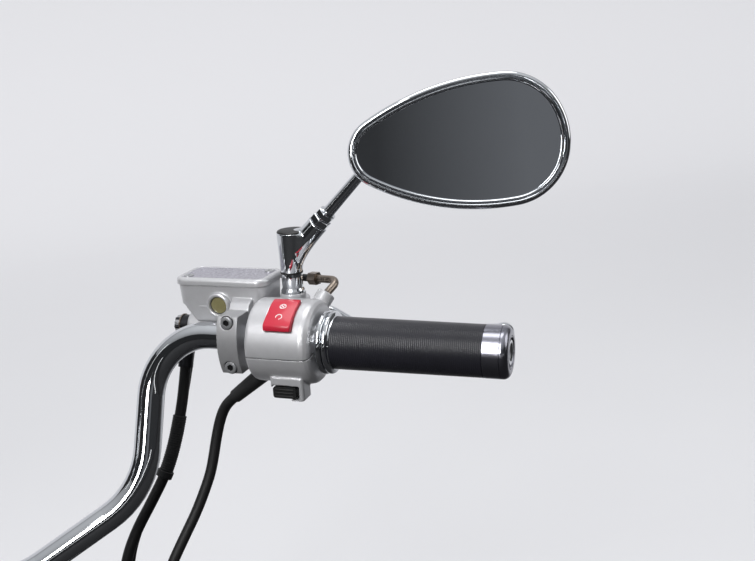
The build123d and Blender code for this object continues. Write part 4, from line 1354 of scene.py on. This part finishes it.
@dataclass
class Grips(Assembly):
    """The two grips: ribbed rubber between a double-beaded collar and a domed cap.

    Attributes:
        collar_along: Where the collar starts, along the grip.
        rubber_along: Where the rubber starts.
        rubber_length: Its length.
        root_radius: The radius of its first rib.
        tip_radius: The radius of its last.
        bore: The radius of the hollow for the tube.
        ribs: How many ribs there are.
        groove: How much less the radius is between two ribs, as the first rib is turned.
        end_share: The inner edge of the rubber's end walls, as a share of the outer.
        cap_along: Where the cap starts.
        cap_length: Its length.
        cap_radius: Its radius.
        plug_sink: How far the plug's ring lies within the cap's end.
    """

    collar_along: float = 149
    rubber_along: float = 161.5
    rubber_length: float = 116
    root_radius: float = 20.5
    tip_radius: float = 19.8
    bore: float = 11.4
    ribs: int = 78
    groove: float = 0.2
    end_share: float = 0.6
    cap_along: float = 277.5
    cap_length: float = 19
    cap_radius: float = 19.9
    plug_sink: float = 1.4

    def build(self) -> None:
        """Build the right-hand grip and mirror it."""
        for build, along, node in ((self.rubber, self.rubber_along, "right_grip"),
                                   (self.collar, self.collar_along, "right_grip_collar"),
                                   (self.cap, self.cap_along, "right_grip_cap")):
            self.pair(place(build(), BAR.turned_frame(along)), node, replaces=True)
        ring = turned("right_plug_ring", [(0, 6), (0.3, 9.4), (0.9, 9.2), (1.1, 8.2), (0.9, 7.2), (0.2, 6.4)],
                      72, closed=True)
        ring_along = self.cap_along + self.cap_length - self.plug_sink
        self.pair(place(ring, BAR.turned_frame(ring_along)), "right_grip_cap", "chrome")

    def rubber(self) -> bpy.types.Object:
        """Turn one rib, repeat it along the sleeve, and taper the whole towards the cap.

        Returns:
            The right-hand rubber.
        """
        pitch = self.rubber_length / self.ribs
        top = self.root_radius
        rib = turned("right_grip_sleeve", [(0, top - self.groove), (0.22 * pitch, top - 0.25 * self.groove),
                                           (0.5 * pitch, top), (0.78 * pitch, top - 0.25 * self.groove),
                                           (pitch, top - self.groove)], 96)
        delete_faces(rib, lambda face: len(face.verts) > 4, "ONLY_FACE")
        apply_modifier(rib, "ARRAY", count=self.ribs, use_relative_offset=False, use_constant_offset=True,
                       constant_offset_displace=(0, 0, pitch), use_merge_vertices=True, merge_threshold=0.01)
        for vertex in rib.data.vertices:
            share = vertex.co.z / self.rubber_length
            scale = 1 + share * (self.tip_radius / self.root_radius - 1)
            vertex.co.x *= scale
            vertex.co.y *= scale
        with editing(rib):
            bpy.ops.mesh.select_mode(type="EDGE")
            bpy.ops.mesh.select_non_manifold()
            bpy.ops.mesh.extrude_edges_move()
            bpy.ops.transform.resize(value=(self.end_share, self.end_share, 1),
                                     center_override=(0, 0, self.rubber_length / 2))
            bpy.ops.mesh.select_all(action="SELECT")
            bpy.ops.mesh.normals_make_consistent(inside=False)
        return smooth(rib, 60)

    def collar(self) -> bpy.types.Object:
        """Turn the chromed collar: a large bead, a hollow and a smaller bead."""
        return turned("right_grip_collar_turning", [
            (0, self.bore), (0, 16), (1.6, 16.2), (1.8, 20.6), *arc_profile((4.5, 22.4), 2.6, 190, 20, 12),
            (7.1, 21.6), *arc_profile((9.3, 22.4), 2.0, 200, 10, 10), (11.7, 21.3), (12.5, 21.1),
            (12.5, self.bore)], 96, closed=True)

    def cap(self) -> bpy.types.Object:
        """Turn the chromed cap: a lipped sleeve, a scored line, a round shoulder and a bored end."""
        radius, length = self.cap_radius, self.cap_length
        return turned("right_grip_cap_turning", [
            (0, self.bore), (0, radius - 0.5), (0.5, radius), (12.6, radius), (12.9, radius - 0.35),
            (13.2, radius), *arc_profile((length - 5.2, radius - 5.2), 5.2, 90, 8, 9), (length - 0.1, 12.6),
            *arc_profile((length - 0.8, 11.6), 0.75, 80, -60, 5), (length - 2, 10.7), (12, 10.7),
            (12, self.bore)], 96, closed=True)


@dataclass
class Mirrors(Assembly):
    """The two mirrors: polished stems, rods with lock nuts, shells and beaded rims.

    Attributes:
        centre: The middle of the glass.
        toe_in: How far the glass turns to the rider, in degrees.
        lean: How far it looks up, in degrees.
        ends: The outline's three round ends: x, y and radius from the middle of the glass.
        sweeps: The radii of the long arcs after each end.
        rim_width: The rim's width.
        rim_back: How far the rim reaches behind the glass.
        boss_along: Where the post stands, along the grip.
        boss_forward: Where it stands, across the grip.
        post_foot: The height of the post's foot.
        post_top: The height of its cap.
        post_lean: How far its top lies further out than its foot.
        arm_above: The height at which the arm leaves the post.
        arm_angle: The arm's angle above the grip, in degrees.
        arm_length: How long it is.
        arm_radius: Its radius.
        ball_reach: The rod's ball, along the arm.
        ball_radius: The ball's radius.
    """

    centre: Point = (257.9, 20, 151)
    toe_in: float = 17.7
    lean: float = 8.6
    ends: tuple[Point, Point, Point] = ((-55, -3.5, 26.5), (32.5, 2, 45), (34, -4.5, 45))
    sweeps: Point = (195, 55, 178)
    rim_width: float = 7
    rim_back: float = 6
    boss_along: float = 112
    boss_forward: float = 34
    post_foot: float = 46.3
    post_top: float = 79.5
    post_lean: float = 3.2
    arm_above: float = 59.2
    arm_angle: float = 46
    arm_length: float = 37.5
    arm_radius: float = 8.4
    ball_reach: float = 111
    ball_radius: float = 7.5

    def build(self) -> None:
        """Build the right-hand mirror and mirror it."""
        self.pair(self.stem(), "right_mirror_base", replaces=True)
        shell = cast("right_mirror_shell", grain=0.8, rounds=16, faces=50000)
        self.dress(shell, "right_mirror_shell")
        self.dress(twin(shell, "left_mirror_shell_casting"), "left_mirror_shell", replaces=True)
        self.rod()
        self.cap()
        self.collar_dark_ring()
        self.pair(place(self.rim(), self.head_frame()), "right_mirror_rim", replaces=True)

    def head_frame(self) -> Matrix:
        """Give the head's frame.

        Returns:
            The matrix whose x runs across the glass and z out of it, towards the rider.
        """
        toe_in, lean = math.radians(self.toe_in), math.radians(self.lean)
        across = Vector((math.cos(toe_in), -math.sin(toe_in), 0))
        back, aside = math.cos(toe_in) * math.cos(lean), math.sin(toe_in) * math.cos(lean)
        return facing(BAR.at(*self.centre), Vector((-aside, -back, math.sin(lean))), across)

    def outline(self, inset: float, above: float, steps: int = 28) -> list[Point]:
        """Give the head's outline: three round ends and the long arcs that touch them.

        Args:
            inset: How far the outline is drawn in.
            above: Its height.
            steps: How many flats each arc has.

        Returns:
            The points, once round.
        """
        ends = [(x, y, radius - inset) for x, y, radius in self.ends]
        touches = []
        for (ax, ay, a_radius), (bx, by, b_radius), sweep in zip(ends, ends[1:] + ends[:1], self.sweeps):
            radius = sweep - inset
            gap = math.hypot(bx - ax, by - ay)
            a_reach, b_reach = radius - a_radius, radius - b_radius
            along = (a_reach ** 2 - b_reach ** 2 + gap ** 2) / (2 * gap)
            aside = math.sqrt(a_reach ** 2 - along ** 2)
            cx = ax + ((bx - ax) * along + (by - ay) * aside) / gap
            cy = ay + ((by - ay) * along - (bx - ax) * aside) / gap
            touches.append((math.atan2(ay - cy, ax - cx), math.atan2(by - cy, bx - cx), cx, cy, radius))
        points = []
        next_touches, next_ends = touches[1:] + touches[:1], ends[1:] + ends[:1]
        for (start, end, *long_arc), following, round_end in zip(touches, next_touches, next_ends):
            for first, last, (mx, my, reach) in ((start, end, long_arc), (end, following[0], round_end)):
                turn = (first - last) % (2 * math.pi)
                for step in range(steps):
                    x, y = polar(reach, first - turn * step / steps)
                    points.append((mx + x, my + y, above))
        return points

    def rim(self) -> bpy.types.Object:
        """Extrude the rim round the glass: a broad outer bead, a groove, a thin inner bead and the lip.

        Returns:
            The rim, in the head's frame.
        """
        profile = [(0.5, -self.rim_back), (0, -5.2), (0, -1.5), (0.25, 0.6), (0.9, 2.1), (1.8, 3), (2.8, 3.4),
                   (3.5, 3.3), (4.1, 2.6), (4.4, 1.9), (4.7, 1.7), (5.1, 2.2), (5.6, 2.5), (6.2, 2.2),
                   (6.8, 1.2), (self.rim_width, 0.1), (self.rim_width, -self.rim_back)]
        rings = [self.outline(inset, above) for inset, above in [*profile, profile[0]]]
        return smooth(weld(lofted("right_mirror_rim_beads", rings, caps=False)), 40)

    @property
    def arm_out(self) -> Vector:
        """Direction of the arm and the rod."""
        angle = math.radians(self.arm_angle)
        return BAR.out * math.cos(angle) + BAR.up * math.sin(angle)

    def arm_frame(self, along: float) -> Matrix:
        """Give the frame of a spot along the arm's axis: z goes on along it."""
        foot = BAR.at(self.boss_along, self.boss_forward, self.arm_above)
        return facing(foot + self.arm_out * along, self.arm_out, BAR.forward)

    def section(self, side: float, above: float, tilt: float, radius: float) -> list[Point]:
        """Give a round section of the stem.

        Args:
            side: How far its middle is beside the post's foot.
            above: How high its middle is.
            tilt: How far it tilts outwards, in degrees.
            radius: Its radius.

        Returns:
            The points, once round.
        """
        lean = math.radians(tilt)
        points = []
        for part in range(48):
            x, y = polar(radius, 2 * math.pi * part / 48)
            points.append((self.boss_along + side + math.cos(lean) * x, self.boss_forward + y,
                           above - math.sin(lean) * x))
        return points

    def on_arm(self, along: float) -> tuple[float, float]:
        """Give a point of the arm's axis: how far beside the post's foot it is, and its height."""
        angle = math.radians(self.arm_angle)
        return along * math.cos(angle), self.arm_above + along * math.sin(angle)

    def stem(self) -> bpy.types.Object:
        """Merge the post and the arm with a bent branch and a web that fills the crook, and polish the whole.

        Returns:
            The right-hand stem casting.
        """
        foot, crook = Vector((0, self.post_foot + 0.6)), Vector((0, self.arm_above))
        tip = Vector(self.on_arm(self.arm_length - 0.6))
        rings = []
        for step in range(13):
            share = step / 12
            centre = foot * (1 - share) ** 2 + crook * (2 * share * (1 - share)) + tip * share ** 2
            ahead = (crook - foot) * (1 - share) + (tip - crook) * share
            rings.append(self.section(*centre, math.degrees(math.atan2(ahead.x, ahead.y)), self.arm_radius))
        branch = lofted("stem_branch", rings)
        tilt = 90 - self.arm_angle
        web = lofted("stem_web", [
            self.section(0.3 * self.post_lean, 60, 0, 10), self.section(self.post_lean, 78.4, 0, 12),
            self.section(*self.on_arm(26), tilt, 8), self.section(*self.on_arm(8), tilt, 8.4)])
        with editing(web):
            bpy.ops.mesh.select_all(action="SELECT")
            bpy.ops.mesh.convex_hull()
        stem = merged_copy("right_mirror_base", "right_mirror_stem_casting")
        for piece in (branch, web):
            place(piece, BAR.frame())
        pick(stem)
        branch.select_set(True)
        web.select_set(True)
        bpy.ops.object.join()
        return recast(stem, grain=0.4, rounds=16, share=0.6)

    def rod(self) -> None:
        """Turn the rod with its flange and its ball, and put two lock nuts at its foot."""
        ball = arc_profile((self.ball_reach, 0), self.ball_radius, 146, 1, 14)
        rod = turned("right_mirror_rod_turning", [
            (self.arm_length - 2, 5), (50, 5), (50.1, 6.6), (50.5, 6.9), (50.9, 6.6), (51.1, 5), (54, 4.9),
            (self.ball_reach - 9, 4.2), *ball], 64)
        self.pair(place(rod, self.arm_frame(0)), "right_mirror_rod", replaces=True)
        bore, chamfer, bevel = 4.6, 0.5, 1.2
        for name, start, length, radius in (("lower", self.arm_length + 0.1, 6.4, 8.4),
                                            ("upper", 44.2, 5.7, 7.5)):
            nut = turned(f"right_mirror_nut_{name}", [
                (0, bore), (0, radius - bevel), (chamfer, radius), (length - chamfer, radius),
                (length, radius - bevel), (length, bore)], 6, closed=True)
            apply_modifier(nut, "BEVEL", width=0.35, segments=3, limit_method="ANGLE",
                           angle_limit=math.radians(25))
            self.pair(place(smooth(nut, 20), self.arm_frame(start)), "right_mirror_rod")

    def cap(self) -> None:
        """Turn the dark cap pressed into the top of the post."""
        cap = turned("right_mirror_cap_moulding", [
            (-0.6, 12.3), (0.3, 12.6), (1.1, 12.3), (1.7, 11.3), (2, 9.6), (2.15, 5.5), (2.2, 0.01)])
        seat = BAR.frame(self.boss_along + self.post_lean, self.boss_forward, self.post_top)
        self.pair(place(cap, seat), "right_mirror_cap", replaces=True)

    def collar_dark_ring(self) -> None:
        """Turn the thin black ring between the collar and the casting, which shows as a dark line where they
        meet.
        """
        ring = turned("right_mirror_seal", [(-0.6, 7), (-0.6, 9), (0.6, 9.2), (0.8, 7)], closed=True)
        seat = BAR.frame(self.boss_along, self.boss_forward, self.post_foot - 0.2)
        self.pair(place(ring, seat), "right_mirror_collar", "black_rubber")


@dataclass
class Cord:
    """A hose, lead or cable that hangs from the handlebar.

    Attributes:
        node: The CAD tube that it replaces.
        diameter: How thick it is.
        length: Its real length; not used.
        points: Its route, which is the CAD tube's too.
        on_it: The CAD nodes that are fastened to it.
        stiffness: How stiff it is meant to be; not used.
        sleeve_from: How far along it its ribbed guard starts.
        sleeve_to: How far along it the guard ends, or 0 for no guard.
    """

    node: str
    diameter: float
    length: float
    points: list[Point]
    on_it: tuple[str, ...]
    stiffness: str = "medium"
    sleeve_from: float = 0
    sleeve_to: float = 0

    def build(self, finishes: dict[str, bpy.types.Material]) -> bpy.types.Object:
        """Draw the route as one smooth spline with a round section.

        Args:
            finishes: The materials by slot.

        Returns:
            The cord.
        """
        curve = bpy.data.curves.new(f"{self.node}_line", "CURVE")
        curve.dimensions = "3D"
        curve.bevel_depth = self.diameter / 2 * MM
        curve.bevel_resolution = 8
        curve.resolution_u = 10
        curve.use_fill_caps = True
        spline = curve.splines.new("NURBS")
        spline.points.add(len(self.points) - 1)
        for knot, point in zip(spline.points, self.points):
            knot.co = (*(value * MM for value in point), 1)
        spline.order_u = 3
        spline.use_endpoint_u = True
        cord = bpy.data.objects.new(f"{self.node}_line", curve)
        bpy.context.scene.collection.objects.link(cord)
        cord.data.materials.append(finishes["hose_rubber"])
        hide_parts(self.node)
        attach(cord, body_of(self.node))
        pieces = [FRAME["nodes"][node] for node in self.on_it]
        if self.sleeve_to:
            pieces.append(self.sleeve(cord, finishes))
        return cord

    def sleeve_profile(self) -> list[tuple[float, float]]:
        """Give the guard's outline: its ribs and the clip at its lower end.

        Returns:
            The distance along the hose and the radius of each step.
        """
        radius, pitch, clip = self.diameter / 2, 2, 6
        steps, along = [(self.sleeve_from, radius - 0.3)], self.sleeve_from
        while along < self.sleeve_to - clip - 1:
            steps += [(along, radius + 0.9), (along + 0.9, radius + 1.25), (along + 1.8, radius + 0.9)]
            along += pitch
        return [*steps, (along, radius + 1.9), (along + 0.4, radius + 2.3),
                (along + clip - 0.4, radius + 2.3), (along + clip, radius + 1.9), (along + clip, radius - 0.3)]

    def sleeve(self, cord: bpy.types.Object, finishes: dict[str, bpy.types.Material]) -> bpy.types.Object:
        """Loft the guard along the hose's own middle line.

        Args:
            cord: The hose, whose spline gives the line.
            finishes: The materials by slot.

        Returns:
            The guard.
        """
        bare = bpy.data.objects.new("line", cord.data.copy())
        bare.data.bevel_depth = 0
        line = [vertex.co / MM for vertex in bpy.data.meshes.new_from_object(bare).vertices]
        bpy.data.objects.remove(bare)
        rings, passed, index = [], 0.0, 0
        for distance, radius in self.sleeve_profile():
            while passed + (line[index + 1] - line[index]).length < distance:
                passed += (line[index + 1] - line[index]).length
                index += 1
            ahead = (line[index + 1] - line[index]).normalized()
            middle = line[index] + ahead * (distance - passed)
            side = ahead.cross(Vector((1, 0, 0))).normalized()
            across = ahead.cross(side)
            spots = [polar(radius, math.radians(15 * step)) for step in range(24)]
            rings.append([tuple(middle + side * x + across * y) for x, y in spots])
        guard = place(smooth(lofted(f"{self.node}_guard", rings), 40), Matrix.Scale(MM, 4))
        guard.data.materials.append(finishes["black_rubber"])
        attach(guard, body_of(self.node))
        return guard


CORDS = [
    Cord("brake_hose", 9.5, 343, [
        (222, 57.5, 132), (217.2, 53, 112), (210.6, 47.8, 91), (202.6, 42.3, 69.5), (192.4, 37.6, 48),
        (176.5, 34.4, 25), (160, 33.5, 1.5), (148.2, 34, -23), (141.5, 35.5, -53), (139, 37.5, -85),
        (140.5, 40.5, -120), (143.5, 42, -155), (144.2, 41.5, -190)],
        ("brake_hose_end",), sleeve_from=42, sleeve_to=96),
    Cord("switch_wires", 9, 322, [
        (256, 2.5, 118), (250.7, 7.4, 112.7), (245.4, 11.5, 104.9), (240.9, 13.5, 93.8), (236.8, 13.9, 80.9),
        (233, 13.2, 67.5), (229.1, 12, 55.1), (224.8, 10.8, 45), (212.4, 7.8, 22), (197.6, 3.6, 1),
        (182.6, -0.6, -21.5), (171.5, -3.6, -48), (165.8, -3.8, -79), (165.2, -1.5, -112), (168, 1.2, -145),
        (169.5, 1.8, -178)], ("switch_wires_plug",), "limp"),
    Cord("throttle_cable", 6, 467, [
        (330.2, 11.4, 204.6), (321.5, 23.4, 204.2), (310.6, 35.7, 205.6), (298.1, 47.5, 207),
        (283.9, 58.6, 206), (270.2, 68.1, 200.6), (256.7, 76.5, 190.7), (244.9, 83.2, 176.1),
        (236.6, 86.4, 157.9), (230.2, 86.4, 135.5), (223.4, 83.2, 111.5), (214.6, 77.6, 87),
        (204.8, 71.6, 60), (190.6, 65.5, 31), (171.5, 62, 5),
        (156.5, 60.4, -22), (148, 60.6, -52), (145.6, 62.6, -83.5), (147.6, 65, -115), (150.4, 66, -145)],
        ("throttle_cable_end",)),
]


def main() -> None:
    logging.basicConfig(level=logging.INFO, format="%(message)s")
    FRAME.update(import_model())
    Studio().build()
    finishes = {name: finish.material() for name, finish in FINISHES.items()}
    for part in FRAME["record"]["subparts"]:
        SLOTS[part["node"]] = part["material_slot"]
        node = FRAME["nodes"][part["node"]]
        node.data.materials.clear()
        node.data.materials.append(finishes[VARIANTS.get(part["node"], part["material_slot"])])
    for assembly in (MasterCylinder, BarClamps, SwitchHousings, Grips, Mirrors):
        assembly(finishes).build()
    for cord in CORDS:
        LOG.info("cord %s", cord.build(finishes).name)


if __name__ == "__main__":
    main()
